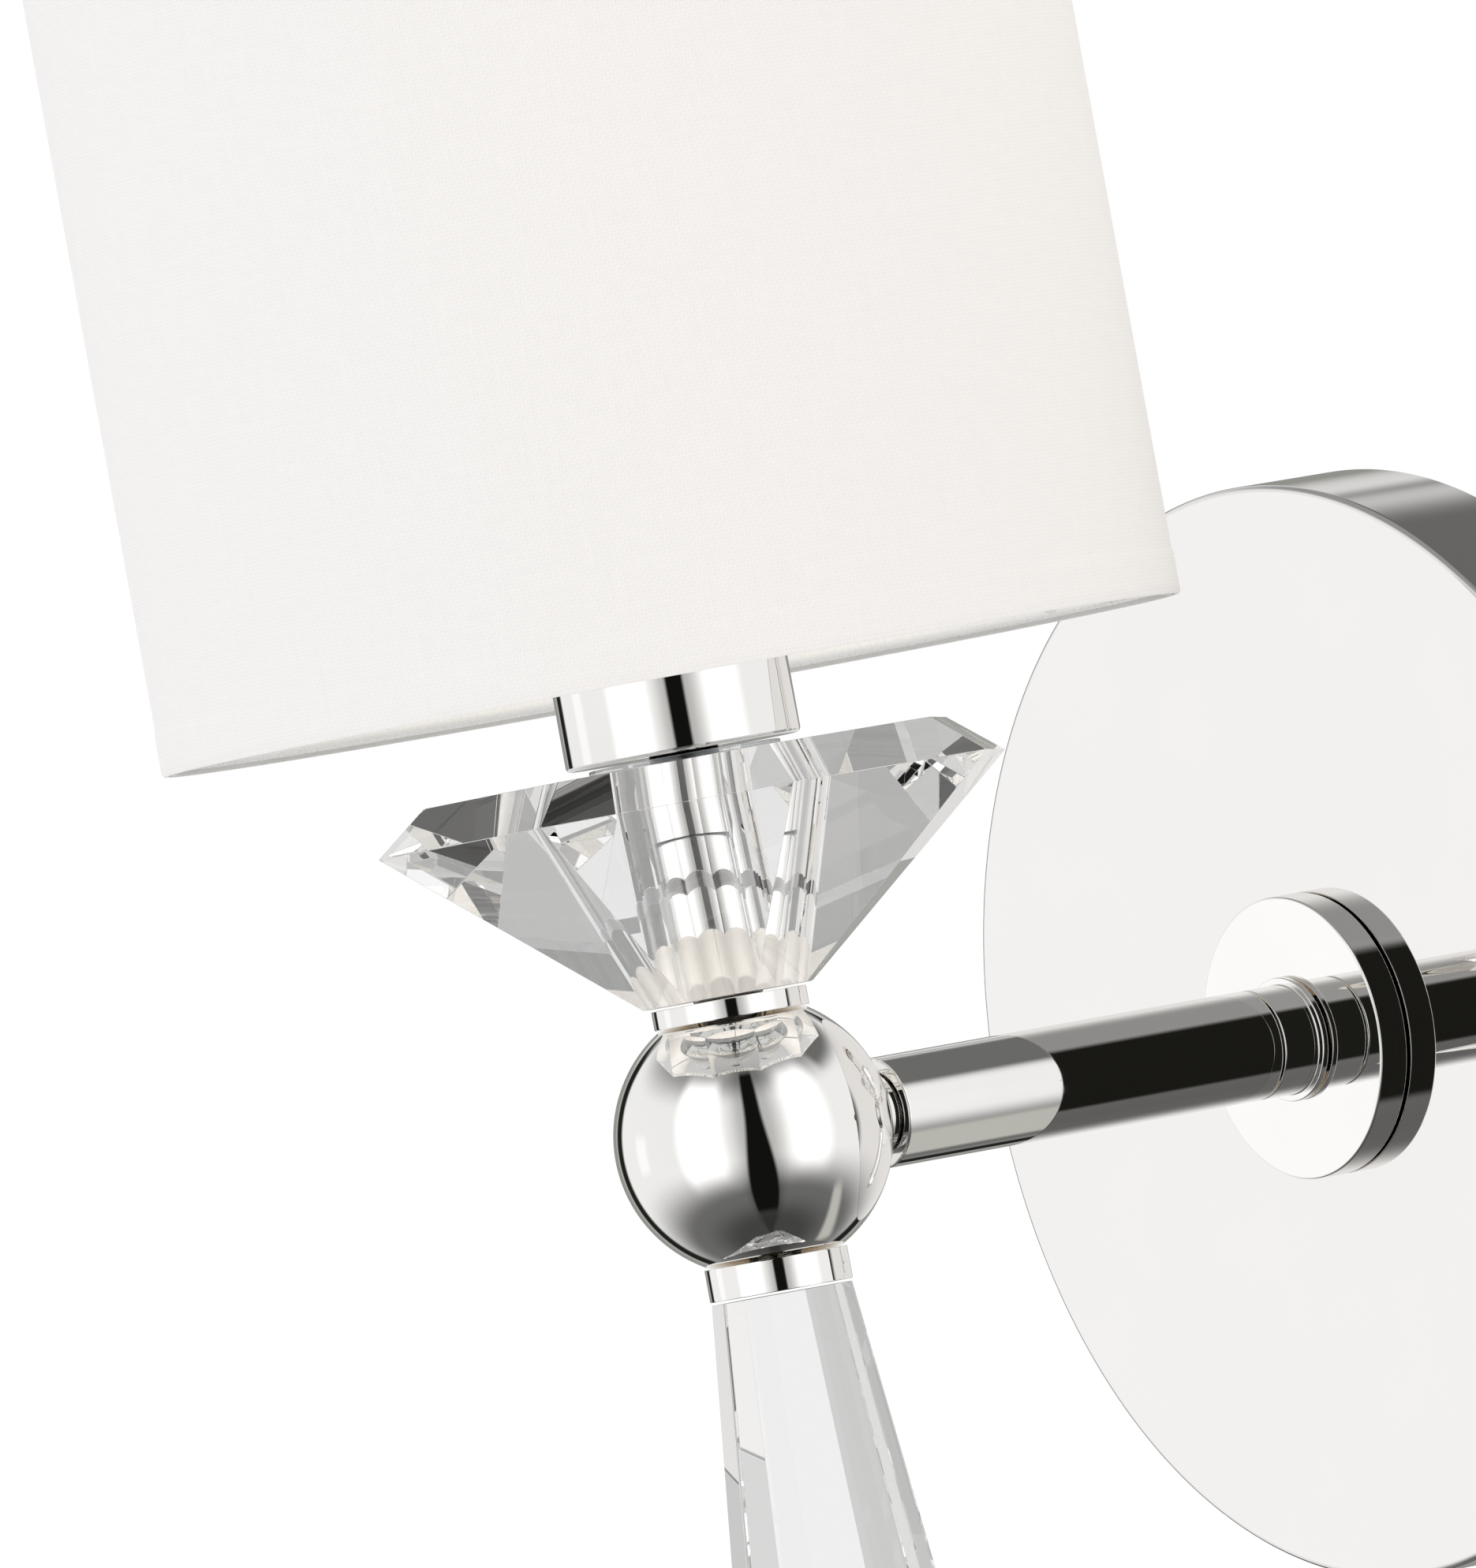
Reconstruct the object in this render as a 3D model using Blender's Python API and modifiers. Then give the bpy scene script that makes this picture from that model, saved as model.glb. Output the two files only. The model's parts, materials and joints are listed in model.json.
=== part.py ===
"""Wall sconce: a backplate, a straight arm, a ball with crystals above and below, and a drum shade.

Metres, +Z up. The origin is the centre of the backplate on the wall plane, and the room is towards -Y.
Heights of the upright stack are measured from the ball's centre, which lies level with the origin.
Distances of the arm's stack are measured outwards from the wall, towards -Y.
"""
import math

import bmesh
import bpy
from mathutils import Vector

MM = 0.001

# Gaps between pieces
SEAT_GAP = 0.3 * MM        # between faces that touch
BORE_GAP = 0.3 * MM        # around a rod, a tube or a screw in its hole
TURN_GAP = 0.4 * MM        # around a piece that turns by hand
OVERCUT = 2.0 * MM         # how far a cutter runs past the piece that it cuts

# Facets of round pieces
LARGE_STEPS = 56
MEDIUM_STEPS = 32
SMALL_STEPS = 16
CRYSTAL_SIDES = 8
HEX_SIDES = 6

# Backplate, flange and wall side
PLATE_RADIUS = 63.5 * MM
PLATE_DEPTH = 15.0 * MM
PLATE_WALL = 1.2 * MM
PLATE_EDGE = 0.8 * MM      # rounding of the front edge
FLANGE_RADIUS = 16.4 * MM
FLANGE_THICKNESS = 3.8 * MM
FLANGE_EDGE = 0.3 * MM
BRACKET_WIDTH = 18.0 * MM
BRACKET_SHEET = 1.6 * MM
BRACKET_HOLE_RADIUS = 7.5 * MM
BRACKET_TAB_SHORTFALL = 2.0 * MM    # between the bracket's tabs and the inside of the pan's face
BOX_SCREW_SPACING = 69.85 * MM
BOX_SLOT_LENGTH = 14.0 * MM
BOX_SCREW_RADIUS = 2.0 * MM
BOX_SCREW_LENGTH = 14.0 * MM
PAN_HEAD_RADIUS = 3.9 * MM
PAN_HEAD_HEIGHT = 2.4 * MM
PAN_HEAD_DOME = 1.2 * MM
SIDE_SCREW_RADIUS = 1.9 * MM
SIDE_SCREW_LENGTH = 9.0 * MM
SIDE_HEAD_RADIUS = 4.0 * MM
SIDE_HEAD_LENGTH = 5.0 * MM
SIDE_HEAD_DOME = 1.0 * MM
GROUND_SCREW_OFFSET = 23.0 * MM
GROUND_SCREW_RADIUS = 1.7 * MM
GROUND_SCREW_LENGTH = 5.0 * MM

# Arm
REACH = 97.0 * MM          # wall plane to the ball's centre
ARM_RADIUS = 6.35 * MM
COLLAR_LENGTH = 5.6 * MM
COLLAR_LIP = 0.85 * MM     # how far the collar's lip stands out around the arm
COLLAR_LIP_LENGTH = 0.8 * MM
NECK_WALL = 0.6 * MM
NECK_LENGTH = 1.8 * MM     # between the ball and the arm's near end

# Lamp pipe, which the nipples and the stem are cut from
PIPE_RADIUS = 4.0 * MM
PIPE_WALL = 0.9 * MM
NIPPLE_GRIP = 9.0 * MM     # how far a nipple reaches into the arm
NIPPLE_IN_BALL = 6.0 * MM
NIPPLE_PROUD = 1.5 * MM    # how far the wall nipple stands out of its nut
STEM_IN_BALL = 9.0 * MM
WASHER_THICKNESS = 0.8 * MM
WASHER_RIM = 3.0 * MM
NUT_ACROSS_FLATS = 12.7 * MM
NUT_THICKNESS = 3.6 * MM

# Ball and its collars
BALL_RADIUS = 15.88 * MM
UPPER_COLLAR_RADIUS = 8.9 * MM
UPPER_COLLAR_FACE = 0.5 * MM    # thickness at the bore
UPPER_COLLAR_SLACK = 1.2 * MM   # around the stem; the collar is centred by its seat on the ball
LOWER_COLLAR_RADIUS = 8.2 * MM
LOWER_COLLAR_FACE = 1.95 * MM

# Crystal bobeche, whose radii are those of its corners, and the polished tube through it
SLEEVE_RADIUS = 7.6 * MM
BOBECHE_BASE_RADIUS = 10.2 * MM
BOBECHE_GIRDLE_RADIUS = 37.8 * MM
BOBECHE_TABLE_RADIUS = 31.5 * MM
BOBECHE_PAVILION = 22.0 * MM    # base to girdle
BOBECHE_CROWN = 4.8 * MM        # girdle to table
BOBECHE_TURN = math.radians(26.5)

# Cup, washers and nut on the stem
VINYL_THICKNESS = 0.6 * MM
VINYL_RADIUS = 11.0 * MM
CUP_HEIGHT = 20.0 * MM
CUP_WALL = 0.9 * MM
CUP_FLOOR = 1.4 * MM
CUP_EDGE = 0.5 * MM
CUP_CLEARANCE = 1.0 * MM        # around the lampholder

# Lampholder
SOCKET_WALL = 4.3 * MM
SOCKET_CAP_HEIGHT = 9.0 * MM
SOCKET_CAP_RIM = 1.2 * MM
SOCKET_CAP_NECK = 5.85 * MM     # height of the cap's narrow part
SOCKET_NECK_WALL = 2.1 * MM
SOCKET_BODY_HEIGHT = 24.0 * MM
SOCKET_FLOOR = 2.0 * MM
SHOULDER_REACH = 3.8 * MM       # beyond the body
SHOULDER_THICKNESS = 1.8 * MM
SHOULDER_HEIGHT = 11.5 * MM     # above the body's bottom
SHELL_CLEARANCE = 0.55 * MM     # around the bulb's cap
SHELL_SEAT = 0.4 * MM           # around the shell in its lampholder
SHELL_WALL = 0.4 * MM
SHELL_HEIGHT = 18.0 * MM
CONTACT_RADIUS = 2.4 * MM
CONTACT_HEIGHT = 1.6 * MM

# Bulb
CAP_RADIUS = 5.95 * MM
CAP_HEIGHT = 17.0 * MM
CAP_WALL = 0.4 * MM
CAP_TAPER = 2.0 * MM
CAP_TIP_RADIUS = 2.6 * MM
CAP_TIP_HEIGHT = 1.4 * MM
GLASS_RADIUS = 17.5 * MM
GLASS_SLACK = 0.35 * MM         # around the glass's neck in the cap
GLASS_IN_CAP = 4.0 * MM
GLASS_NECK_LENGTH = 5.0 * MM
GLASS_HEIGHT = 80.0 * MM
GLASS_WIDEST = 30.0 * MM        # above the glass's lower end
GLASS_WALL = 0.8 * MM
MOUNT_RADIUS = 2.6 * MM
MOUNT_HEIGHT = 26.0 * MM
MOUNT_FOOT = 2.0 * MM
MOUNT_FLARE = 8.0 * MM          # height at which the mount's foot has narrowed
FILAMENT_RADIUS = 0.35 * MM
FILAMENT_SPAN = 9.0 * MM
FILAMENT_RISE = 20.0 * MM

# Shade
SHADE_RADIUS = 58.5 * MM
SHADE_HEIGHT = 140.0 * MM
SHADE_DROP = 21.9 * MM          # from the fitter's ring down to the shade's lower edge
COVER_THICKNESS = 0.6 * MM
LINER_THICKNESS = 0.6 * MM
WIRE_RADIUS = 1.1 * MM
SPOKES = 3
SPOKE_RADIUS = 0.54 * MM
FITTER_RIM = 4.0 * MM
FITTER_THICKNESS = 1.2 * MM
RING_WALL = 3.7 * MM
RING_HEIGHT = 5.0 * MM
RING_EDGE = 0.6 * MM

# Crystal drop, a tapered square column with cut corners and a pointed foot
DROP_TOP_HALF = 6.9 * MM
DROP_WIDE_HALF = 12.0 * MM
DROP_TIP_HALF = 1.6 * MM
DROP_COLUMN = 58.0 * MM
DROP_FOOT = 15.0 * MM
DROP_CORNER_SHARE = 0.28        # the part of a half width that a corner cut takes
DROP_TURN = math.radians(36.0)
DROP_ROD_RADIUS = 3.0 * MM
DROP_ROD_IN_BALL = 7.0 * MM
DROP_PLATE_RADIUS = 5.4 * MM    # the rod's foot, which is bonded to the crystal
DROP_PLATE_THICKNESS = 1.0 * MM

# Wiring
LEAD_RADIUS = 0.8 * MM
LEAD_OFFSET = 1.1 * MM          # of each lead from the middle of the pipe
WIRE_NUT_RADIUS = 4.0 * MM
WIRE_NUT_TIP_RADIUS = 2.6 * MM
WIRE_NUT_LENGTH = 15.0 * MM
WIRE_NUT_LIP = 2.0 * MM
WIRE_NUT_EDGE = 1.0 * MM
MAINS_NUT_PLACE = (12.0 * MM, 27.0 * MM)    # of a nut's mouth from the middle, across and up or down
GROUND_NUT_PLACE = (17.0 * MM, 36.0 * MM)

# What follows from the sizes above
def ball_seat(radius):
    """The height above the ball's centre at which a seat on the ball has this radius."""
    return math.sqrt((BALL_RADIUS + SEAT_GAP) ** 2 - radius ** 2)


PIPE_BORE = PIPE_RADIUS - PIPE_WALL
PIPE_HOLE = PIPE_RADIUS + BORE_GAP
PLATE_INNER = PLATE_DEPTH - PLATE_WALL
FLANGE_BACK = PLATE_DEPTH + SEAT_GAP
FLANGE_FACE = FLANGE_BACK + FLANGE_THICKNESS
ARM_ROOT = FLANGE_FACE + SEAT_GAP
COLLAR_END = ARM_ROOT + COLLAR_LENGTH
ARM_START = COLLAR_END + SEAT_GAP
NECK_RADIUS = PIPE_HOLE + NECK_WALL
NECK_END = REACH - ball_seat(NECK_RADIUS) - NECK_LENGTH
ARM_TIP = NECK_END - SEAT_GAP
UPPER_COLLAR_BORE = PIPE_RADIUS + UPPER_COLLAR_SLACK
UPPER_COLLAR_TOP = ball_seat(UPPER_COLLAR_BORE) + UPPER_COLLAR_FACE
DROP_ROD_HOLE = DROP_ROD_RADIUS + BORE_GAP
LOWER_COLLAR_BOTTOM = -ball_seat(DROP_ROD_HOLE) - LOWER_COLLAR_FACE
SHELL_RADIUS = CAP_RADIUS + SHELL_CLEARANCE + SHELL_WALL
SOCKET_BORE_RADIUS = SHELL_RADIUS + SHELL_SEAT
SOCKET_RADIUS = SOCKET_BORE_RADIUS + SOCKET_WALL
SHOULDER_RADIUS = SOCKET_RADIUS + SHOULDER_REACH
CUP_INNER = SOCKET_RADIUS + CUP_CLEARANCE
CUP_RADIUS = CUP_INNER + CUP_WALL
FITTER_BORE = SOCKET_RADIUS + TURN_GAP
FITTER_RADIUS = FITTER_BORE + FITTER_RIM
RING_BORE = SOCKET_RADIUS + BORE_GAP
RING_RADIUS = RING_BORE + RING_WALL
WASHER_FRONT = PLATE_INNER - SEAT_GAP
NUT_FRONT = WASHER_FRONT - WASHER_THICKNESS - SEAT_GAP
NUT_BACK = NUT_FRONT - NUT_THICKNESS
BOBECHE_BASE = UPPER_COLLAR_TOP + SEAT_GAP
BOBECHE_GIRDLE = BOBECHE_BASE + BOBECHE_PAVILION
BOBECHE_TABLE = BOBECHE_GIRDLE + BOBECHE_CROWN
VINYL_BASE = BOBECHE_TABLE + SEAT_GAP
CUP_BASE = VINYL_BASE + VINYL_THICKNESS + SEAT_GAP
CUP_WASHER_BASE = CUP_BASE + CUP_FLOOR + SEAT_GAP
STEM_NUT_BASE = CUP_WASHER_BASE + WASHER_THICKNESS + SEAT_GAP
SOCKET_CAP_BASE = STEM_NUT_BASE + NUT_THICKNESS + SEAT_GAP
SOCKET_BASE = SOCKET_CAP_BASE + SOCKET_CAP_HEIGHT + SEAT_GAP
SOCKET_TOP = SOCKET_BASE + SOCKET_BODY_HEIGHT
STEM_TOP = SOCKET_CAP_BASE + SOCKET_CAP_NECK - SEAT_GAP
SHOULDER_TOP = SOCKET_BASE + SHOULDER_HEIGHT + SHOULDER_THICKNESS
FITTER_BASE = SHOULDER_TOP + SEAT_GAP
RING_BASE = FITTER_BASE + FITTER_THICKNESS + SEAT_GAP
SHELL_BASE = SOCKET_BASE + SOCKET_FLOOR + SEAT_GAP
CONTACT_BASE = SHELL_BASE + SHELL_WALL + SEAT_GAP
CAP_TIP_BASE = CONTACT_BASE + CONTACT_HEIGHT + SEAT_GAP
CAP_BASE = CAP_TIP_BASE + CAP_TIP_HEIGHT + SEAT_GAP
CAP_TOP = CAP_BASE + CAP_HEIGHT
GLASS_BASE = CAP_TOP - GLASS_IN_CAP
GLASS_NECK_RADIUS = CAP_RADIUS - CAP_WALL - GLASS_SLACK
SHADE_BOTTOM = FITTER_BASE - SHADE_DROP
LINER_RADIUS = SHADE_RADIUS - COVER_THICKNESS - SEAT_GAP
HOOP_RADIUS = LINER_RADIUS - LINER_THICKNESS - SEAT_GAP - WIRE_RADIUS
HOOP_INSET = WIRE_RADIUS + SEAT_GAP
DROP_TOP = LOWER_COLLAR_BOTTOM - SEAT_GAP

STACK = Vector((0, -REACH, 0))
WALL = Vector((0, 0, 0))
UPRIGHT = (0, 0, 0)
OUTWARD = (math.radians(90), 0, 0)
TO_LEFT = (0, math.radians(-90), 0)
TO_RIGHT = (0, math.radians(90), 0)


def clear_scene():
    for item in list(bpy.data.objects):
        bpy.data.objects.remove(item, do_unlink=True)
    for name in ("wall_sconce", "cutters"):
        collection = bpy.data.collections.new(name)
        bpy.context.scene.collection.children.link(collection)
    return [bpy.data.collections["wall_sconce"], bpy.data.collections["cutters"]]


PARTS, CUTTERS = clear_scene()


def finish(name, colour, metallic, roughness, transmission=0.0):
    material = bpy.data.materials.new(name)
    material.use_nodes = True
    shader = material.node_tree.nodes["Principled BSDF"]
    shader.inputs["Base Color"].default_value = (*colour, 1)
    shader.inputs["Metallic"].default_value = metallic
    shader.inputs["Roughness"].default_value = roughness
    shader.inputs["Transmission Weight"].default_value = transmission
    material.diffuse_color = (*colour, 1)
    return material


NICKEL = ((0.78, 0.76, 0.72), 1.0, 0.05)
CRYSTAL = ((0.96, 0.97, 0.98), 0.0, 0.0, 1.0)
GLASS = ((0.98, 0.97, 0.95), 0.0, 0.02, 1.0)
STEEL = ((0.55, 0.55, 0.56), 1.0, 0.35)
BRASS = ((0.80, 0.60, 0.28), 1.0, 0.25)
LINEN = ((0.92, 0.90, 0.87), 0.0, 0.9)
STYRENE = ((0.95, 0.94, 0.92), 0.0, 0.5)
WHITE_ENAMEL = ((0.88, 0.87, 0.85), 0.0, 0.4)
PHENOLIC = ((0.85, 0.84, 0.80), 0.0, 0.45)
VINYL = ((0.85, 0.86, 0.86), 0.0, 0.4)
BLACK_JACKET = ((0.03, 0.03, 0.03), 0.0, 0.5)
WHITE_JACKET = ((0.85, 0.85, 0.83), 0.0, 0.5)
GREEN_JACKET = ((0.04, 0.30, 0.10), 0.0, 0.5)
ORANGE_CAP = ((0.85, 0.35, 0.05), 0.0, 0.45)
GREEN_PAINT = ((0.05, 0.35, 0.12), 0.3, 0.4)


def add_part(name, mesh, place, turn, look):
    part = bpy.data.objects.new(name, mesh)
    part.location = place
    part.rotation_euler = turn
    part.data.materials.append(finish(name + "_finish", *look))
    PARTS.objects.link(part)
    return part


def add_cutter(name, mesh, place=WALL, turn=UPRIGHT):
    cutter = bpy.data.objects.new(name, mesh)
    cutter.location = place
    cutter.rotation_euler = turn
    cutter.hide_render = True
    cutter.display_type = "WIRE"
    CUTTERS.objects.link(cutter)
    return cutter


def profile_mesh(name, profile):
    """The outline of a turned piece; it is a closed loop where no point lies on the axis."""
    points = [(radius, 0, height) for radius, height in profile]
    edges = [(i, i + 1) for i in range(len(points) - 1)]
    if profile[0][0] > 0:
        edges.append((len(points) - 1, 0))
    mesh = bpy.data.meshes.new(name)
    mesh.from_pydata(points, edges, [])
    return mesh


def add_screw(item, steps):
    screw = item.modifiers.new("turn", "SCREW")
    screw.steps = steps
    screw.render_steps = steps
    screw.use_merge_vertices = True
    screw.merge_threshold = 0.00001


def turned(name, profile, place, turn, look, steps=SMALL_STEPS):
    part = add_part(name, profile_mesh(name, profile), place, turn, look)
    add_screw(part, steps)
    return part


def tube_profile(outer, inner, low, high):
    return [(outer, high), (outer, low), (inner, low), (inner, high)]


def disc_profile(radius, low, high):
    return [(0, high), (radius, high), (radius, low), (0, low)]


def arc(centre, radius, start, end, count):
    """Points of an arc in a profile, from one angle to the other, in degrees from the radial direction."""
    angles = [math.radians(start + (end - start) * i / count) for i in range(count + 1)]
    return [(centre[0] + radius * math.cos(a), centre[1] + radius * math.sin(a)) for a in angles]


def rod_mesh(name, start, end, radius, sides=SMALL_STEPS):
    """A round bar between two points."""
    start, end = Vector(start), Vector(end)
    along = end - start
    builder = bmesh.new()
    bmesh.ops.create_cone(builder, cap_ends=True, segments=sides, radius1=radius, radius2=radius,
                          depth=along.length)
    turn = along.to_track_quat("Z", "Y").to_matrix().to_4x4()
    bmesh.ops.transform(builder, matrix=turn, verts=builder.verts)
    bmesh.ops.translate(builder, vec=(start + end) / 2, verts=builder.verts)
    mesh = bpy.data.meshes.new(name)
    builder.to_mesh(mesh)
    builder.free()
    return mesh


def combine(part, other, operation):
    modifier = part.modifiers.new(other.name, "BOOLEAN")
    modifier.operation = operation
    modifier.solver = "EXACT"
    modifier.object = other


def drill(part, name, start, end, radius, sides=SMALL_STEPS):
    """A round hole between two points of the row frame."""
    combine(part, add_cutter(name, rod_mesh(name, start, end, radius, sides)), "DIFFERENCE")


def lead(name, route, look):
    """An insulated wire along a smooth curve through the route's points."""
    curve = bpy.data.curves.new(name, "CURVE")
    curve.dimensions = "3D"
    curve.bevel_depth = LEAD_RADIUS
    curve.bevel_resolution = 2
    curve.use_fill_caps = True
    points = smooth_route(route, 5.0 * LEAD_RADIUS)
    spline = curve.splines.new("POLY")
    spline.points.add(len(points) - 1)
    for target, point in zip(spline.points, points):
        target.co = (*point, 1)
    return add_part(name, curve, WALL, UPRIGHT, look)


def smooth_route(route, spacing):
    """A Catmull-Rom curve through the points, with a point about every spacing."""
    knots = [Vector(p) for p in route]
    knots = [2 * knots[0] - knots[1]] + knots + [2 * knots[-1] - knots[-2]]
    points = []
    for a, b, c, d in zip(knots, knots[1:], knots[2:], knots[3:]):
        count = max(1, round((c - b).length / spacing))
        for i in range(count):
            t = i / count
            points.append(0.5 * (2 * b + (c - a) * t + (2 * a - 5 * b + 4 * c - d) * t ** 2
                                 + (3 * b - a - 3 * c + d) * t ** 3))
    return points + [knots[-2]]


# Wall side ----------------------------------------------------------------------------------------

def make_backplate():
    """A shallow round pan, open towards the wall, with a hole for the nipple and one for each side screw."""
    inner = PLATE_RADIUS - PLATE_WALL
    outside = arc((PLATE_RADIUS - PLATE_EDGE, PLATE_DEPTH - PLATE_EDGE), PLATE_EDGE, 90, 0, 4)
    profile = ([(PIPE_HOLE, PLATE_DEPTH)] + outside
               + [(PLATE_RADIUS, 0), (inner, 0), (inner, PLATE_INNER), (PIPE_HOLE, PLATE_INNER)])
    plate = turned("backplate", profile, WALL, OUTWARD, NICKEL, LARGE_STEPS)
    middle = -PLATE_DEPTH / 2
    for side, label in ((-1, "left"), (1, "right")):
        drill(plate, "side_hole_" + label, (side * (inner - OVERCUT), middle, 0),
              (side * (PLATE_RADIUS + OVERCUT), middle, 0), SIDE_SCREW_RADIUS + BORE_GAP)


def tab_face():
    """How far from the middle the bracket's tabs may reach inside the backplate's rim."""
    inner = PLATE_RADIUS - PLATE_WALL - SEAT_GAP
    return math.sqrt(inner ** 2 - (BRACKET_WIDTH / 2) ** 2)


def make_bracket():
    """A strap bent up at both ends, slotted for the box screws and drilled for the side screws."""
    reach = tab_face()
    half = BRACKET_WIDTH / 2
    tab = PLATE_INNER - BRACKET_TAB_SHORTFALL
    path = [(-reach, -tab), (-reach, 0), (reach, 0), (reach, -tab)]
    points = [(x, y, z) for x, y in path for z in (-half, half)]
    faces = [(2 * i, 2 * i + 2, 2 * i + 3, 2 * i + 1) for i in range(3)]
    mesh = bpy.data.meshes.new("mounting_bracket")
    mesh.from_pydata(points, [], faces)
    bracket = add_part("mounting_bracket", mesh, WALL, UPRIGHT, STEEL)
    sheet = bracket.modifiers.new("sheet", "SOLIDIFY")
    sheet.thickness = BRACKET_SHEET
    sheet.offset = 1
    sheet.use_even_offset = True
    through = 2 * BRACKET_SHEET
    drill(bracket, "bracket_hole", (0, -through, 0), (0, through, 0), BRACKET_HOLE_RADIUS)
    drill(bracket, "ground_hole", (GROUND_SCREW_OFFSET, -through, 0), (GROUND_SCREW_OFFSET, through, 0),
          GROUND_SCREW_RADIUS + BORE_GAP)
    for side, label in ((-1, "left"), (1, "right")):
        drill(bracket, "tab_hole_" + label, (side * (reach - through), -PLATE_DEPTH / 2, 0),
              (side * (reach + through), -PLATE_DEPTH / 2, 0), SIDE_SCREW_RADIUS + BORE_GAP)
        slot_radius = BOX_SCREW_RADIUS + BORE_GAP
        straight = BOX_SLOT_LENGTH / 2 - slot_radius
        centre = side * BOX_SCREW_SPACING / 2
        slot = add_cutter("box_slot_" + label, slot_mesh("box_slot_" + label, straight, slot_radius, through),
                          (centre, 0, 0))
        combine(bracket, slot, "DIFFERENCE")


def slot_mesh(name, straight, radius, half_depth):
    """A bar with round ends, flat along Y, for cutting a slot."""
    sides = SMALL_STEPS // 2
    right = [(straight + radius * math.cos(a), radius * math.sin(a))
             for a in [math.pi * (i / sides - 0.5) for i in range(sides + 1)]]
    outline = right + [(-x, -z) for x, z in right]
    builder = bmesh.new()
    face = builder.faces.new([builder.verts.new((x, half_depth, z)) for x, z in outline])
    grown = bmesh.ops.extrude_face_region(builder, geom=[face])
    moved = [item for item in grown["geom"] if isinstance(item, bmesh.types.BMVert)]
    bmesh.ops.translate(builder, vec=(0, -2 * half_depth, 0), verts=moved)
    bmesh.ops.recalc_face_normals(builder, faces=builder.faces)
    mesh = bpy.data.meshes.new(name)
    builder.to_mesh(mesh)
    builder.free()
    return mesh


def screw_profile(head_radius, head_height, radius, length, dome):
    """A screw whose head stands above zero and whose shank runs below it."""
    head = arc((head_radius - dome, head_height - dome), dome, 90, 0, 3)
    return [(0, head_height)] + head + [(head_radius, 0), (radius, 0), (radius, -length), (0, -length)]


def make_screws():
    front = BRACKET_SHEET + SEAT_GAP
    pan = screw_profile(PAN_HEAD_RADIUS, PAN_HEAD_HEIGHT, BOX_SCREW_RADIUS, BOX_SCREW_LENGTH,
                        PAN_HEAD_DOME)
    thumb = screw_profile(SIDE_HEAD_RADIUS, SIDE_HEAD_LENGTH, SIDE_SCREW_RADIUS, SIDE_SCREW_LENGTH,
                          SIDE_HEAD_DOME)
    for side, label, turn in ((-1, "left", TO_LEFT), (1, "right", TO_RIGHT)):
        place = Vector((side * BOX_SCREW_SPACING / 2, -front, 0))
        turned("box_screw_" + label, pan, place, OUTWARD, STEEL)
        rim = Vector((side * (PLATE_RADIUS + SEAT_GAP), -PLATE_DEPTH / 2, 0))
        turned("side_screw_" + label, thumb, rim, turn, NICKEL)
    ground = screw_profile(PAN_HEAD_RADIUS, PAN_HEAD_HEIGHT, GROUND_SCREW_RADIUS, GROUND_SCREW_LENGTH,
                           PAN_HEAD_DOME)
    turned("ground_screw", ground, Vector((GROUND_SCREW_OFFSET, -front, 0)), OUTWARD, GREEN_PAINT)


def hex_nut(name, low, place, turn):
    corner = NUT_ACROSS_FLATS / 2 / math.cos(math.radians(30))
    nut = turned(name, disc_profile(corner, low, low + NUT_THICKNESS), place, turn, BRASS, HEX_SIDES)
    bore = add_cutter(name + "_bore", profile_mesh(name + "_bore", disc_profile(
        PIPE_HOLE, low - NUT_THICKNESS, low + 2 * NUT_THICKNESS)), place, turn)
    add_screw(bore, SMALL_STEPS)
    combine(nut, bore, "DIFFERENCE")


def make_wall_stack():
    flange_edge = arc((FLANGE_RADIUS - FLANGE_EDGE, FLANGE_FACE - FLANGE_EDGE), FLANGE_EDGE, 90, 0, 3)
    flange = ([(PIPE_HOLE, FLANGE_FACE)] + flange_edge
              + [(FLANGE_RADIUS, FLANGE_BACK), (PIPE_HOLE, FLANGE_BACK)])
    turned("flange_disc", flange, WALL, OUTWARD, NICKEL, MEDIUM_STEPS)

    lip = ARM_RADIUS + COLLAR_LIP
    lip_end = ARM_ROOT + COLLAR_LIP_LENGTH
    collar = [(PIPE_HOLE, COLLAR_END), (ARM_RADIUS, COLLAR_END), (ARM_RADIUS, lip_end), (lip, lip_end),
              (lip, ARM_ROOT), (PIPE_HOLE, ARM_ROOT)]
    turned("arm_collar", collar, WALL, OUTWARD, NICKEL, MEDIUM_STEPS)
    turned("wall_nipple", tube_profile(PIPE_RADIUS, PIPE_BORE, NUT_BACK - NIPPLE_PROUD,
                                        ARM_START + NIPPLE_GRIP), WALL, OUTWARD, STEEL)
    turned("lock_washer", tube_profile(PIPE_HOLE + WASHER_RIM, PIPE_HOLE, WASHER_FRONT - WASHER_THICKNESS,
                                       WASHER_FRONT), WALL, OUTWARD, STEEL)
    hex_nut("wall_nut", NUT_BACK, WALL, OUTWARD)


# Arm and ball -------------------------------------------------------------------------------------

def make_arm():
    """A tube bored for the two nipples, and the neck that stands between it and the ball."""
    turned("arm_tube", tube_profile(ARM_RADIUS, PIPE_HOLE, ARM_START, ARM_TIP), WALL, OUTWARD, NICKEL,
           MEDIUM_STEPS)
    turned("ball_nipple", tube_profile(PIPE_RADIUS, PIPE_BORE, ARM_TIP - NIPPLE_GRIP,
                                       REACH - BALL_RADIUS + NIPPLE_IN_BALL), WALL, OUTWARD, STEEL)
    profile = [(NECK_RADIUS, REACH - ball_seat(NECK_RADIUS)), (NECK_RADIUS, NECK_END), (PIPE_HOLE, NECK_END),
               (PIPE_HOLE, REACH - ball_seat(PIPE_HOLE))]
    turned("ball_neck", profile, WALL, OUTWARD, NICKEL)


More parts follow.
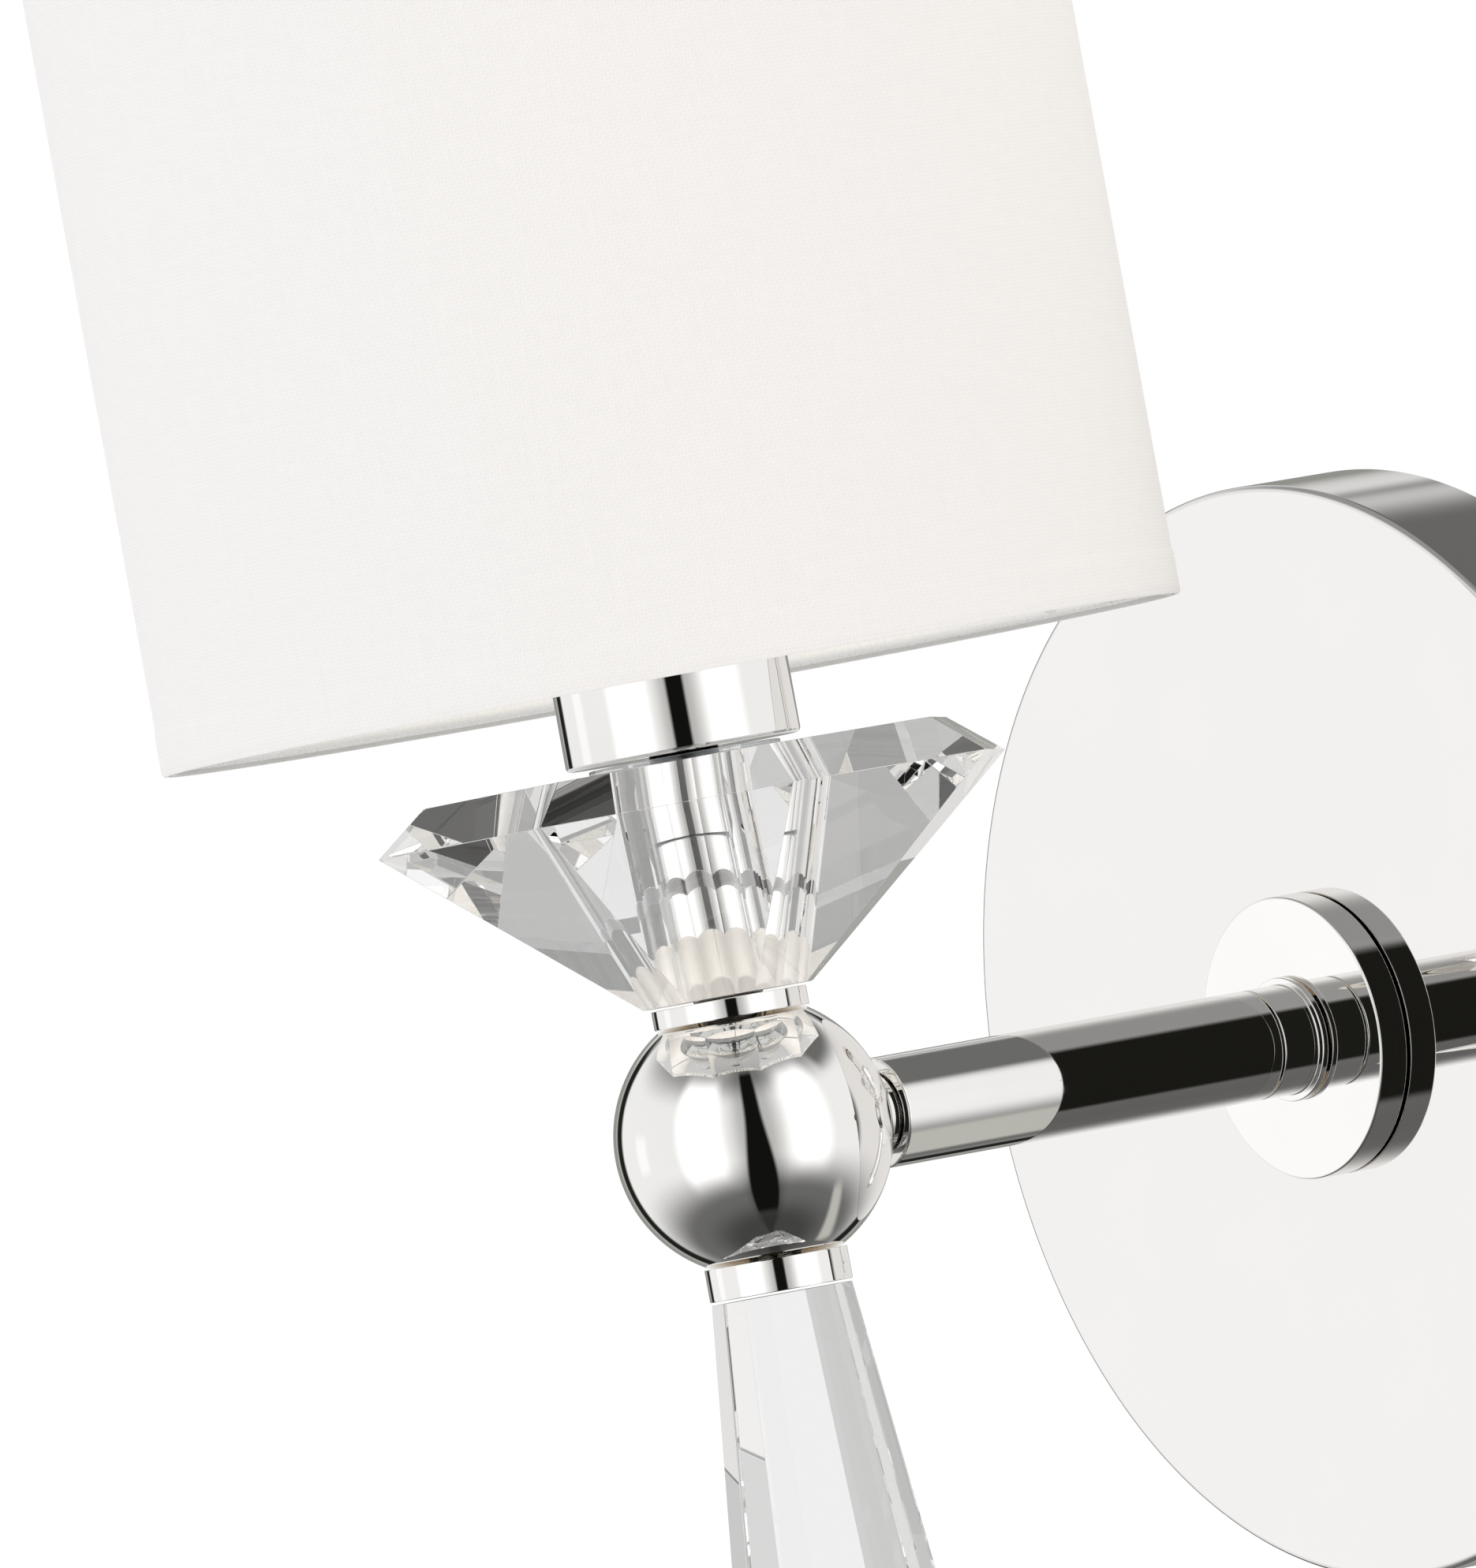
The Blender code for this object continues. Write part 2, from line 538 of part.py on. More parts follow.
def make_ball():
    """A sphere bored upwards for the stem, downwards for the drop's rod and towards the wall for the arm."""
    top = math.degrees(math.acos(PIPE_HOLE / BALL_RADIUS))
    foot = -math.degrees(math.acos(DROP_ROD_HOLE / BALL_RADIUS))
    profile = (arc((0, 0), BALL_RADIUS, top, foot, MEDIUM_STEPS // 2)
               + [(DROP_ROD_HOLE, -PIPE_HOLE), (PIPE_HOLE, -PIPE_HOLE)])
    ball = turned("ball", profile, STACK, UPRIGHT, NICKEL, MEDIUM_STEPS)
    inside = STACK + Vector((0, 0.3 * PIPE_HOLE, 0))
    outside = STACK + Vector((0, BALL_RADIUS + OVERCUT, 0))
    drill(ball, "ball_side_bore", inside, outside, PIPE_HOLE)


def collar_profile(radius, bore, flat):
    """A ring with one flat face and one face that follows the ball; flat is the flat face's height."""
    seat = BALL_RADIUS + SEAT_GAP
    outer_angle = math.degrees(math.acos(radius / seat))
    inner_angle = math.degrees(math.acos(bore / seat))
    return [(radius, flat)] + arc((0, 0), seat, outer_angle, inner_angle, 4) + [(bore, flat)]


def make_collars():
    """The ball's two collars. The lower one is recessed for the foot of the drop's rod."""
    turned("upper_collar", collar_profile(UPPER_COLLAR_RADIUS, UPPER_COLLAR_BORE, UPPER_COLLAR_TOP), STACK,
           UPRIGHT, NICKEL, MEDIUM_STEPS)
    recess = DROP_PLATE_RADIUS + BORE_GAP
    recess_end = -LOWER_COLLAR_BOTTOM - DROP_PLATE_THICKNESS - SEAT_GAP
    lower = (collar_profile(LOWER_COLLAR_RADIUS, DROP_ROD_HOLE, -LOWER_COLLAR_BOTTOM)[:-1]
             + [(DROP_ROD_HOLE, recess_end), (recess, recess_end), (recess, -LOWER_COLLAR_BOTTOM)])
    mirrored = [(radius, -height) for radius, height in reversed(lower)]
    turned("lower_collar", mirrored, STACK, UPRIGHT, NICKEL, MEDIUM_STEPS)


# Crystals -----------------------------------------------------------------------------------------

def make_bobeche():
    """An eight-sided diamond shape with a flat table, drilled for the tube that covers the stem."""
    profile = [(0, BOBECHE_TABLE), (BOBECHE_TABLE_RADIUS, BOBECHE_TABLE),
               (BOBECHE_GIRDLE_RADIUS, BOBECHE_GIRDLE), (BOBECHE_BASE_RADIUS, BOBECHE_BASE),
               (0, BOBECHE_BASE)]
    crystal = turned("crystal_bobeche", profile, STACK, (0, 0, BOBECHE_TURN), CRYSTAL, CRYSTAL_SIDES)
    drill(crystal, "bobeche_bore", STACK + Vector((0, 0, BOBECHE_BASE - OVERCUT)),
          STACK + Vector((0, 0, BOBECHE_TABLE + OVERCUT)), SLEEVE_RADIUS + BORE_GAP, MEDIUM_STEPS)
    turned("crystal_sleeve", tube_profile(SLEEVE_RADIUS, PIPE_HOLE, BOBECHE_BASE, BOBECHE_TABLE), STACK,
           UPRIGHT, NICKEL, MEDIUM_STEPS)


def cut_corner_square(half, corner, height):
    """The eight corners of a square with its corners cut off."""
    near = half - corner
    quarter = [(half, -near), (half, near)]
    points = []
    for k in range(4):
        a = k * math.pi / 2
        points += [(x * math.cos(a) - y * math.sin(a), x * math.sin(a) + y * math.cos(a), height)
                   for x, y in quarter]
    return points


def make_drop():
    """A column that widens downwards and closes to a small flat point, and the footed rod on its top."""
    sections = [(DROP_TIP_HALF, DROP_TOP - DROP_COLUMN - DROP_FOOT), (DROP_WIDE_HALF, DROP_TOP - DROP_COLUMN),
                (DROP_TOP_HALF, DROP_TOP)]
    builder = bmesh.new()
    rings = []
    for half, height in sections:
        corners = cut_corner_square(half, half * DROP_CORNER_SHARE, height)
        rings.append([builder.verts.new(point) for point in corners])
    for low, high in zip(rings, rings[1:]):
        for i in range(len(low)):
            j = (i + 1) % len(low)
            builder.faces.new((low[i], low[j], high[j], high[i]))
    builder.faces.new(list(reversed(rings[0])))
    builder.faces.new(rings[-1])
    mesh = bpy.data.meshes.new("crystal_drop")
    builder.to_mesh(mesh)
    builder.free()
    add_part("crystal_drop", mesh, STACK, (0, 0, DROP_TURN - math.radians(90)), CRYSTAL)
    foot_top = LOWER_COLLAR_BOTTOM + DROP_PLATE_THICKNESS
    rod = [(0, -BALL_RADIUS + DROP_ROD_IN_BALL), (DROP_ROD_RADIUS, -BALL_RADIUS + DROP_ROD_IN_BALL),
           (DROP_ROD_RADIUS, foot_top), (DROP_PLATE_RADIUS, foot_top), (DROP_PLATE_RADIUS, LOWER_COLLAR_BOTTOM),
           (0, LOWER_COLLAR_BOTTOM)]
    turned("drop_rod", rod, STACK, UPRIGHT, STEEL)


# Cup and lampholder -------------------------------------------------------------------------------

def make_stem_stack():
    turned("stem", tube_profile(PIPE_RADIUS, PIPE_BORE, BALL_RADIUS - STEM_IN_BALL, STEM_TOP), STACK,
           UPRIGHT, STEEL)
    turned("bobeche_washer", tube_profile(VINYL_RADIUS, PIPE_HOLE, VINYL_BASE, VINYL_BASE + VINYL_THICKNESS),
           STACK, UPRIGHT, VINYL)
    cup_top = CUP_BASE + CUP_HEIGHT
    foot = arc((CUP_RADIUS - CUP_EDGE, CUP_BASE + CUP_EDGE), CUP_EDGE, 0, -90, 2)
    cup = [(CUP_RADIUS, cup_top)] + foot + [(PIPE_HOLE, CUP_BASE), (PIPE_HOLE, CUP_BASE + CUP_FLOOR),
                                            (CUP_INNER, CUP_BASE + CUP_FLOOR), (CUP_INNER, cup_top)]
    turned("cup", cup, STACK, UPRIGHT, NICKEL, MEDIUM_STEPS)
    turned("cup_washer", tube_profile(PIPE_HOLE + WASHER_RIM, PIPE_HOLE, CUP_WASHER_BASE,
                                      CUP_WASHER_BASE + WASHER_THICKNESS), STACK, UPRIGHT, STEEL)
    hex_nut("stem_nut", STEM_NUT_BASE, STACK, UPRIGHT)


def make_lampholder():
    top = SOCKET_CAP_BASE + SOCKET_CAP_HEIGHT
    waist = SOCKET_CAP_BASE + SOCKET_CAP_NECK
    neck = PIPE_HOLE + SOCKET_NECK_WALL
    cap = [(SOCKET_RADIUS, top), (SOCKET_RADIUS, top - SOCKET_CAP_RIM), (neck, waist),
           (neck, SOCKET_CAP_BASE), (PIPE_HOLE, SOCKET_CAP_BASE), (PIPE_HOLE, top)]
    turned("socket_cap", cap, STACK, UPRIGHT, PHENOLIC)

    shoulder_low = SHOULDER_TOP - SHOULDER_THICKNESS
    body = [(SOCKET_RADIUS, SOCKET_TOP), (SOCKET_RADIUS, SHOULDER_TOP), (SHOULDER_RADIUS, SHOULDER_TOP),
            (SHOULDER_RADIUS, shoulder_low), (SOCKET_RADIUS, shoulder_low), (SOCKET_RADIUS, SOCKET_BASE),
            (PIPE_BORE, SOCKET_BASE), (PIPE_BORE, SOCKET_BASE + SOCKET_FLOOR),
            (SOCKET_BORE_RADIUS, SOCKET_BASE + SOCKET_FLOOR), (SOCKET_BORE_RADIUS, SOCKET_TOP)]
    turned("socket_body", body, STACK, UPRIGHT, PHENOLIC, MEDIUM_STEPS)

    shell_top = SHELL_BASE + SHELL_HEIGHT
    shell = [(SHELL_RADIUS, shell_top), (SHELL_RADIUS, SHELL_BASE), (CONTACT_RADIUS, SHELL_BASE),
             (CONTACT_RADIUS, SHELL_BASE + SHELL_WALL), (SHELL_RADIUS - SHELL_WALL, SHELL_BASE + SHELL_WALL),
             (SHELL_RADIUS - SHELL_WALL, shell_top)]
    turned("screw_shell", shell, STACK, UPRIGHT, BRASS)
    turned("centre_contact", disc_profile(CONTACT_RADIUS, CONTACT_BASE, CONTACT_BASE + CONTACT_HEIGHT),
           STACK, UPRIGHT, BRASS)


def make_bulb():
    tip_top = CAP_TIP_BASE + CAP_TIP_HEIGHT
    turned("bulb_contact", [(0, tip_top), (CAP_TIP_RADIUS, tip_top), (0.6 * CAP_TIP_RADIUS, CAP_TIP_BASE),
                            (0, CAP_TIP_BASE)], STACK, UPRIGHT, STEEL)
    base = [(CAP_RADIUS, CAP_TOP), (CAP_RADIUS, CAP_BASE + CAP_TAPER), (CAP_TIP_RADIUS, CAP_BASE),
            (0.5 * CAP_TIP_RADIUS, CAP_BASE), (0.5 * CAP_TIP_RADIUS, CAP_BASE + CAP_WALL),
            (CAP_RADIUS - CAP_WALL, CAP_BASE + CAP_TAPER + CAP_WALL), (CAP_RADIUS - CAP_WALL, CAP_TOP)]
    turned("bulb_cap", base, STACK, UPRIGHT, BRASS)

    outside = glass_outline(0)
    inside = glass_outline(GLASS_WALL)
    turned("bulb_glass", outside + list(reversed(inside)), STACK, UPRIGHT, GLASS)

    neck = GLASS_NECK_RADIUS - GLASS_WALL - BORE_GAP
    mount_top = GLASS_BASE + MOUNT_HEIGHT
    mount = [(0, mount_top), (MOUNT_RADIUS, mount_top), (MOUNT_RADIUS, GLASS_BASE + MOUNT_FLARE),
             (neck, GLASS_BASE + MOUNT_FOOT), (neck, GLASS_BASE), (0, GLASS_BASE)]
    turned("bulb_mount", mount, STACK, UPRIGHT, GLASS)
    make_filament(mount_top + SEAT_GAP)


def glass_outline(inset):
    """Half of the glass's outline from its tip down to its neck: half an ellipse, then a smooth waist."""
    widest = GLASS_BASE + GLASS_WIDEST
    rise = GLASS_HEIGHT - GLASS_WIDEST - inset
    fall = GLASS_WIDEST - GLASS_NECK_LENGTH
    radius = GLASS_RADIUS - inset
    neck = GLASS_NECK_RADIUS - inset
    dome = [(radius * math.sin(a), widest + rise * math.cos(a))
            for a in [math.pi / 2 * i / 6 for i in range(7)]]
    waist = [(neck + (radius - neck) * (0.5 + 0.5 * math.cos(math.pi * i / 5)), widest - fall * i / 5)
             for i in range(1, 6)]
    return dome + waist + [(neck, GLASS_BASE)]


def make_filament(low):
    """Two upright wires joined by an arched filament, bent from one wire."""
    half = FILAMENT_SPAN / 2
    route = [(-0.3 * half, low), (-0.8 * half, low + 0.5 * FILAMENT_RISE), (-half, low + 0.8 * FILAMENT_RISE),
             (-0.5 * half, low + FILAMENT_RISE), (0.5 * half, low + FILAMENT_RISE),
             (half, low + 0.8 * FILAMENT_RISE), (0.8 * half, low + 0.5 * FILAMENT_RISE), (0.3 * half, low)]
    curve = bpy.data.curves.new("bulb_filament", "CURVE")
    curve.dimensions = "3D"
    curve.bevel_depth = FILAMENT_RADIUS
    curve.bevel_resolution = 1
    curve.use_fill_caps = True
    points = smooth_route([(x, -REACH, z) for x, z in route], 8 * FILAMENT_RADIUS)
    spline = curve.splines.new("POLY")
    spline.points.add(len(points) - 1)
    for target, point in zip(spline.points, points):
        target.co = (*point, 1)
    add_part("bulb_filament", curve, WALL, UPRIGHT, STEEL)


# Shade --------------------------------------------------------------------------------------------

def make_shade():
    top = SHADE_BOTTOM + SHADE_HEIGHT
    turned("shade_cover", tube_profile(SHADE_RADIUS, SHADE_RADIUS - COVER_THICKNESS, SHADE_BOTTOM, top),
           STACK, UPRIGHT, LINEN, LARGE_STEPS)
    turned("shade_liner", tube_profile(LINER_RADIUS, LINER_RADIUS - LINER_THICKNESS, SHADE_BOTTOM, top),
           STACK, UPRIGHT, STYRENE, LARGE_STEPS)
    add_part("shade_top_ring", hoop_mesh("shade_top_ring"), STACK + Vector((0, 0, top - HOOP_INSET)), UPRIGHT,
             WHITE_ENAMEL)


def hoop_mesh(name):
    """A wire ring that fits inside the liner."""
    bpy.ops.mesh.primitive_torus_add(major_radius=HOOP_RADIUS, minor_radius=WIRE_RADIUS,
                                     major_segments=LARGE_STEPS, minor_segments=6)
    ring = bpy.context.object
    mesh = ring.data
    mesh.name = name
    bpy.data.objects.remove(ring)
    return mesh


def make_fitter():
    """A flat ring for the lampholder, with wire spokes down to the shade's bottom hoop."""
    fitter = turned("shade_fitter", tube_profile(FITTER_RADIUS, FITTER_BORE, FITTER_BASE,
                                                 FITTER_BASE + FITTER_THICKNESS),
                    STACK, UPRIGHT, WHITE_ENAMEL, MEDIUM_STEPS)
    hoop_height = SHADE_BOTTOM + HOOP_INSET
    hoop = add_cutter("fitter_hoop", hoop_mesh("fitter_hoop"), STACK + Vector((0, 0, hoop_height)))
    combine(fitter, hoop, "UNION")
    inner = FITTER_RADIUS - WIRE_RADIUS
    middle = FITTER_BASE + FITTER_THICKNESS / 2
    for k in range(SPOKES):
        angle = math.radians(90) + 2 * math.pi * k / SPOKES
        across = Vector((math.cos(angle), math.sin(angle), 0))
        start = STACK + across * inner + Vector((0, 0, middle))
        end = STACK + across * HOOP_RADIUS + Vector((0, 0, hoop_height))
        name = "fitter_spoke_%d" % (k + 1)
        spoke = add_cutter(name, rod_mesh(name, start, end, SPOKE_RADIUS, 8))
        combine(fitter, spoke, "UNION")


def make_shade_ring():
    top = RING_BASE + RING_HEIGHT
    profile = [(RING_RADIUS - RING_EDGE, top), (RING_RADIUS, top - RING_EDGE),
               (RING_RADIUS, RING_BASE + RING_EDGE), (RING_RADIUS - RING_EDGE, RING_BASE),
               (RING_BORE, RING_BASE), (RING_BORE, top)]
    turned("shade_ring", profile, STACK, UPRIGHT, PHENOLIC, MEDIUM_STEPS)


# Wiring -------------------------------------------------------------------------------------------

def make_leads():
    """Hot and neutral run from the lampholder through stem, ball, arm and nipple to nuts inside the pan."""
    nut_out = PLATE_INNER / 2
    for name, side, look in (("hot_lead", -1, BLACK_JACKET), ("neutral_lead", 1, WHITE_JACKET)):
        x = side * LEAD_OFFSET
        nut_x = side * MAINS_NUT_PLACE[0]
        nut_z = -side * MAINS_NUT_PLACE[1]
        route = [(x, -REACH, SOCKET_CAP_BASE + SOCKET_CAP_HEIGHT - 1.0 * MM), (x, -REACH, CUP_BASE),
                 (x, -REACH, BOBECHE_GIRDLE), (x, -REACH, BOBECHE_BASE), (x, -REACH + 0.2 * MM, 6.0 * MM),
                 (x, -REACH + 2.2 * MM, 1.6 * MM), (x, -REACH + 7.0 * MM, 0), (x, -ARM_TIP, 0),
                 (x, -(ARM_TIP + ARM_ROOT) / 2, 0), (x, -ARM_ROOT, 0), (x, -NUT_BACK, 0),
                 (x + side * 0.6 * MM, -3.6 * MM, 0.12 * nut_z), (side * 4.0 * MM, -3.4 * MM, 0.36 * nut_z),
                 (side * 4.0 * MM, -nut_out, 0.7 * nut_z), (side * 7.0 * MM, -nut_out, 0.96 * nut_z),
                 (nut_x - side * SEAT_GAP, -nut_out, nut_z)]
        lead(name, route, look)
        wire_nut("wire_nut_" + name.split("_")[0], Vector((nut_x, -nut_out, nut_z)), side)
    screw_x = GROUND_SCREW_OFFSET
    nut_x, nut_z = GROUND_NUT_PLACE
    start = (screw_x, -BRACKET_SHEET - SEAT_GAP - PAN_HEAD_HEIGHT - SEAT_GAP - LEAD_RADIUS, 0)
    route = [start, (screw_x, -nut_out, 0.15 * nut_z), (screw_x + 1 * MM, -nut_out, 0.4 * nut_z),
             (screw_x + 3 * MM, -nut_out, 0.7 * nut_z), (screw_x, -nut_out, 0.94 * nut_z),
             (nut_x + SEAT_GAP, -nut_out, nut_z)]
    lead("ground_lead", route, GREEN_JACKET)
    wire_nut("wire_nut_ground", Vector((nut_x, -nut_out, nut_z)), -1)


def wire_nut(name, place, side):
    """A tapered twist-on cap, whose open end faces the leads."""
    profile = [(0, WIRE_NUT_LENGTH), (WIRE_NUT_TIP_RADIUS - WIRE_NUT_EDGE, WIRE_NUT_LENGTH),
               (WIRE_NUT_TIP_RADIUS, WIRE_NUT_LENGTH - WIRE_NUT_EDGE), (WIRE_NUT_RADIUS, WIRE_NUT_LIP),
               (WIRE_NUT_RADIUS, 0), (0, 0)]
    turned(name, profile, place, TO_RIGHT if side > 0 else TO_LEFT, ORANGE_CAP)


def settle_shapes():
    """Gives each piece its finished mesh, with its round faces smooth and its edges sharp."""
    graph = bpy.context.evaluated_depsgraph_get()
    finished = {}
    for part in PARTS.objects:
        finished[part] = bpy.data.meshes.new_from_object(part.evaluated_get(graph))
    for part, mesh in finished.items():
        if part.type == "CURVE":
            part = replace_curve(part, mesh)
        else:
            part.modifiers.clear()
            part.data = mesh
        mesh.shade_smooth()
        mesh.set_sharp_from_angle(angle=math.radians(30))


def replace_curve(part, mesh):
    builder = bmesh.new()
    builder.from_mesh(mesh)
    bmesh.ops.remove_doubles(builder, verts=builder.verts, dist=0.000001)
    builder.to_mesh(mesh)
    builder.free()
    name = part.name
    solid = bpy.data.objects.new(name + "_solid", mesh)
    solid.matrix_world = part.matrix_world
    bpy.data.objects.remove(part)
    solid.name = name
    PARTS.objects.link(solid)
    return solid


def main():
    make_backplate()
    make_bracket()
    make_screws()
    make_wall_stack()
    make_arm()
    make_ball()
    make_collars()
    make_bobeche()
    make_drop()
    make_stem_stack()
    make_lampholder()
    make_bulb()
    make_shade()
    make_fitter()
    make_shade_ring()
    make_leads()
    settle_shapes()


main()
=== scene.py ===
"""Looks of the wall sconce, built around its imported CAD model.

Metres, +Z up, with the origin at the centre of the backplate on the wall plane.
"""
import json
import math

import bmesh
import bpy
from mathutils import Matrix, Vector

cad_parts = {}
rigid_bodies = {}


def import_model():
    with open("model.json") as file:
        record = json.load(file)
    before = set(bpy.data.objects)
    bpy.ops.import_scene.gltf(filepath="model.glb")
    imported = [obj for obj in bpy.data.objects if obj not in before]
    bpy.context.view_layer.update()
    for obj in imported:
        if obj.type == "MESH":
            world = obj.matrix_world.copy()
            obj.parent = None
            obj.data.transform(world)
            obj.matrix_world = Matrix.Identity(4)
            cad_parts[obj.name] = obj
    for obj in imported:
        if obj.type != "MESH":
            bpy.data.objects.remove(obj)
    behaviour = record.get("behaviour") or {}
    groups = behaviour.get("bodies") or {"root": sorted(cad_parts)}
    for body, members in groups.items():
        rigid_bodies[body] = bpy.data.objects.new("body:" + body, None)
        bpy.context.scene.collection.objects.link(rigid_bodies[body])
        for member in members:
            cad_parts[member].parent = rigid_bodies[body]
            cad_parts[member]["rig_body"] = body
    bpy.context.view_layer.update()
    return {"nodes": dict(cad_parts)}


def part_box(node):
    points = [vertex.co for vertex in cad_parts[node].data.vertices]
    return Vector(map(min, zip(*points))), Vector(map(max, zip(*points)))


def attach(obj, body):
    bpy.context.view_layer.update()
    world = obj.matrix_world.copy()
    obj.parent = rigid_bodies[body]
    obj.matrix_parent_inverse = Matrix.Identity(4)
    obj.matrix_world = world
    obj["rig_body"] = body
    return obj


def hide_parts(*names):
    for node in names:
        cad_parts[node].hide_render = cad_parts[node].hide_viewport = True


MM = 0.001
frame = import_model()


def middle(node):
    low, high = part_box(node)
    return (low + high) / 2


REACH = -middle("cup").y
BALL = Vector((0, -REACH, 0))
SHADE_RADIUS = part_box("shade_cover")[1].x

# Placements of turning axes: local Z is the axis, and outlines are read on the side of local Y
UPRIGHT = Matrix.Translation(BALL) @ Matrix.Rotation(math.radians(-90), 4, "Z")
OUTWARD = Matrix.Rotation(math.radians(90), 4, "X")
ALONG_X = {-1: Matrix.Rotation(math.radians(-90), 4, "Y"), 1: Matrix.Rotation(math.radians(90), 4, "Y")}

# Facets of round pieces, and the smallest lengths that count
FINEST = 256
FINE = 128
SMALL = 64
ON_AXIS = 0.0005 * MM

# Camera and floor
CAMERA_AZIMUTH = math.radians(53.7)
CAMERA_ELEVATION = math.radians(-0.8)
CAMERA_ROLL = math.radians(-10.3)
CAMERA_DISTANCE = 3.0
CAMERA_AIM = (5.4 * MM, 39.5 * MM)      # to the right of and above the ball's centre
VIEW_HEIGHT = 177.5 * MM
SENSOR = 36.0                           # of the sensor's long side, in millimetres
FLOOR_DROP = 0.3                        # floor below the lowest point
FLOOR_HALF = 60.0

TO_CAMERA = Vector((math.sin(CAMERA_AZIMUTH), -math.cos(CAMERA_AZIMUTH), 0))
TO_RIGHT = Vector((math.cos(CAMERA_AZIMUTH), math.sin(CAMERA_AZIMUTH), 0))


# Node trees ---------------------------------------------------------------------------------------

class Graph:
    """A short way to write node trees: every call adds a node and gives back its output."""

    def __init__(self, tree):
        self.tree = tree

    def node(self, kind, **settings):
        made = self.tree.nodes.new(kind)
        for name, value in settings.items():
            setattr(made, name, value)
        return made

    def feed(self, socket, value):
        if isinstance(value, bpy.types.NodeSocket):
            self.tree.links.new(value, socket)
        elif socket.type == "RGBA" and len(value) == 3:
            socket.default_value = (*value, 1)
        else:
            socket.default_value = value

    def math(self, operation, *values):
        made = self.node("ShaderNodeMath", operation=operation)
        for socket, value in zip(made.inputs, values):
            self.feed(socket, value)
        return made.outputs[0]

    def dot(self, vector, fixed):
        made = self.node("ShaderNodeVectorMath", operation="DOT_PRODUCT")
        self.feed(made.inputs[0], vector)
        self.feed(made.inputs[1], tuple(fixed))
        return made.outputs["Value"]

    def ramp(self, value, start, end, low=0.0, high=1.0):
        """Rises smoothly from low to high while value goes from start to end."""
        made = self.node("ShaderNodeMapRange", interpolation_type="SMOOTHSTEP")
        for name, number in (("Value", value), ("From Min", start), ("From Max", end), ("To Min", low),
                             ("To Max", high)):
            self.feed(made.inputs[name], number)
        return made.outputs["Result"]

    def band(self, value, low, high, soft):
        """One between low and high, and zero outside, with soft ends."""
        rise = self.ramp(value, low - soft, low + soft)
        fall = self.ramp(value, high - soft, high + soft, 1.0, 0.0)
        return self.math("MULTIPLY", rise, fall)

    def mix(self, factor, first, second):
        made = self.node("ShaderNodeMix", data_type="RGBA")
        self.feed(made.inputs["Factor"], factor)
        self.feed(made.inputs[6], first)
        self.feed(made.inputs[7], second)
        return made.outputs[2]

    def place(self, scale=(1, 1, 1)):
        """Object coordinates in millimetres, stretched by scale."""
        where = self.node("ShaderNodeTexCoord").outputs["Object"]
        mapping = self.node("ShaderNodeMapping")
        self.feed(mapping.inputs["Vector"], where)
        self.feed(mapping.inputs["Scale"], tuple(factor / MM for factor in scale))
        return mapping.outputs["Vector"]

    def noise(self, vector, scale, detail=3.0, roughness=0.5):
        made = self.node("ShaderNodeTexNoise")
        self.feed(made.inputs["Vector"], vector)
        self.feed(made.inputs["Scale"], scale)
        self.feed(made.inputs["Detail"], detail)
        self.feed(made.inputs["Roughness"], roughness)
        return made.outputs["Fac"]

    def bump(self, height, strength, distance):
        made = self.node("ShaderNodeBump")
        self.feed(made.inputs["Height"], height)
        self.feed(made.inputs["Strength"], strength)
        self.feed(made.inputs["Distance"], distance)
        return made.outputs["Normal"]


def new_material(name):
    """A material, its graph and its Principled shader."""
    material = bpy.data.materials.new(name)
    material.use_nodes = True
    return material, Graph(material.node_tree), material.node_tree.nodes["Principled BSDF"]


# Materials ----------------------------------------------------------------------------------------

def metal(name, colour, roughness, spread, grain=(1, 1, 1), grain_scale=0.6, bump=0.0, tarnish=0.06):
    """Metal with a fine grain in its roughness and a faint unevenness in its colour."""
    material, graph, shader = new_material(name)
    fine = graph.noise(graph.place(grain), grain_scale, 4.0, 0.6)
    broad = graph.noise(graph.place(), 0.05, 2.0)
    dull = tuple(channel * (1 - tarnish) for channel in colour)
    graph.feed(shader.inputs["Base Color"], graph.mix(graph.ramp(broad, 0.3, 0.7), dull, colour))
    shader.inputs["Metallic"].default_value = 1.0
    graph.feed(shader.inputs["Roughness"], graph.ramp(fine, 0.3, 0.7, roughness - spread, roughness + spread))
    if bump:
        graph.feed(shader.inputs["Normal"], graph.bump(fine, bump, 0.05 * MM))
    return material


def threaded(name, base, axis, pitch):
    """A copy of a metal with screw threads across one axis."""
    material = base.copy()
    material.name = name
    graph = Graph(material.node_tree)
    shader = material.node_tree.nodes["Principled BSDF"]
    parts = graph.node("ShaderNodeSeparateXYZ")
    graph.feed(parts.inputs[0], graph.place())
    ridge = graph.math("PINGPONG", parts.outputs[axis], pitch / 2)
    graph.feed(shader.inputs["Normal"], graph.bump(graph.math("MULTIPLY", ridge, 2 / pitch), 1.0, 0.3 * MM))
    return material


def glass(name, colour, ior, haze):
    """Clear glass whose polish has faint wipe marks."""
    material, graph, shader = new_material(name)
    marks = graph.noise(graph.place((1, 1, 0.3)), 0.35, 3.0)
    shader.inputs["Base Color"].default_value = (*colour, 1)
    shader.inputs["IOR"].default_value = ior
    shader.inputs["Transmission Weight"].default_value = 1.0
    graph.feed(shader.inputs["Roughness"], graph.ramp(marks, 0.55, 0.8, 0.0, haze))
    return material


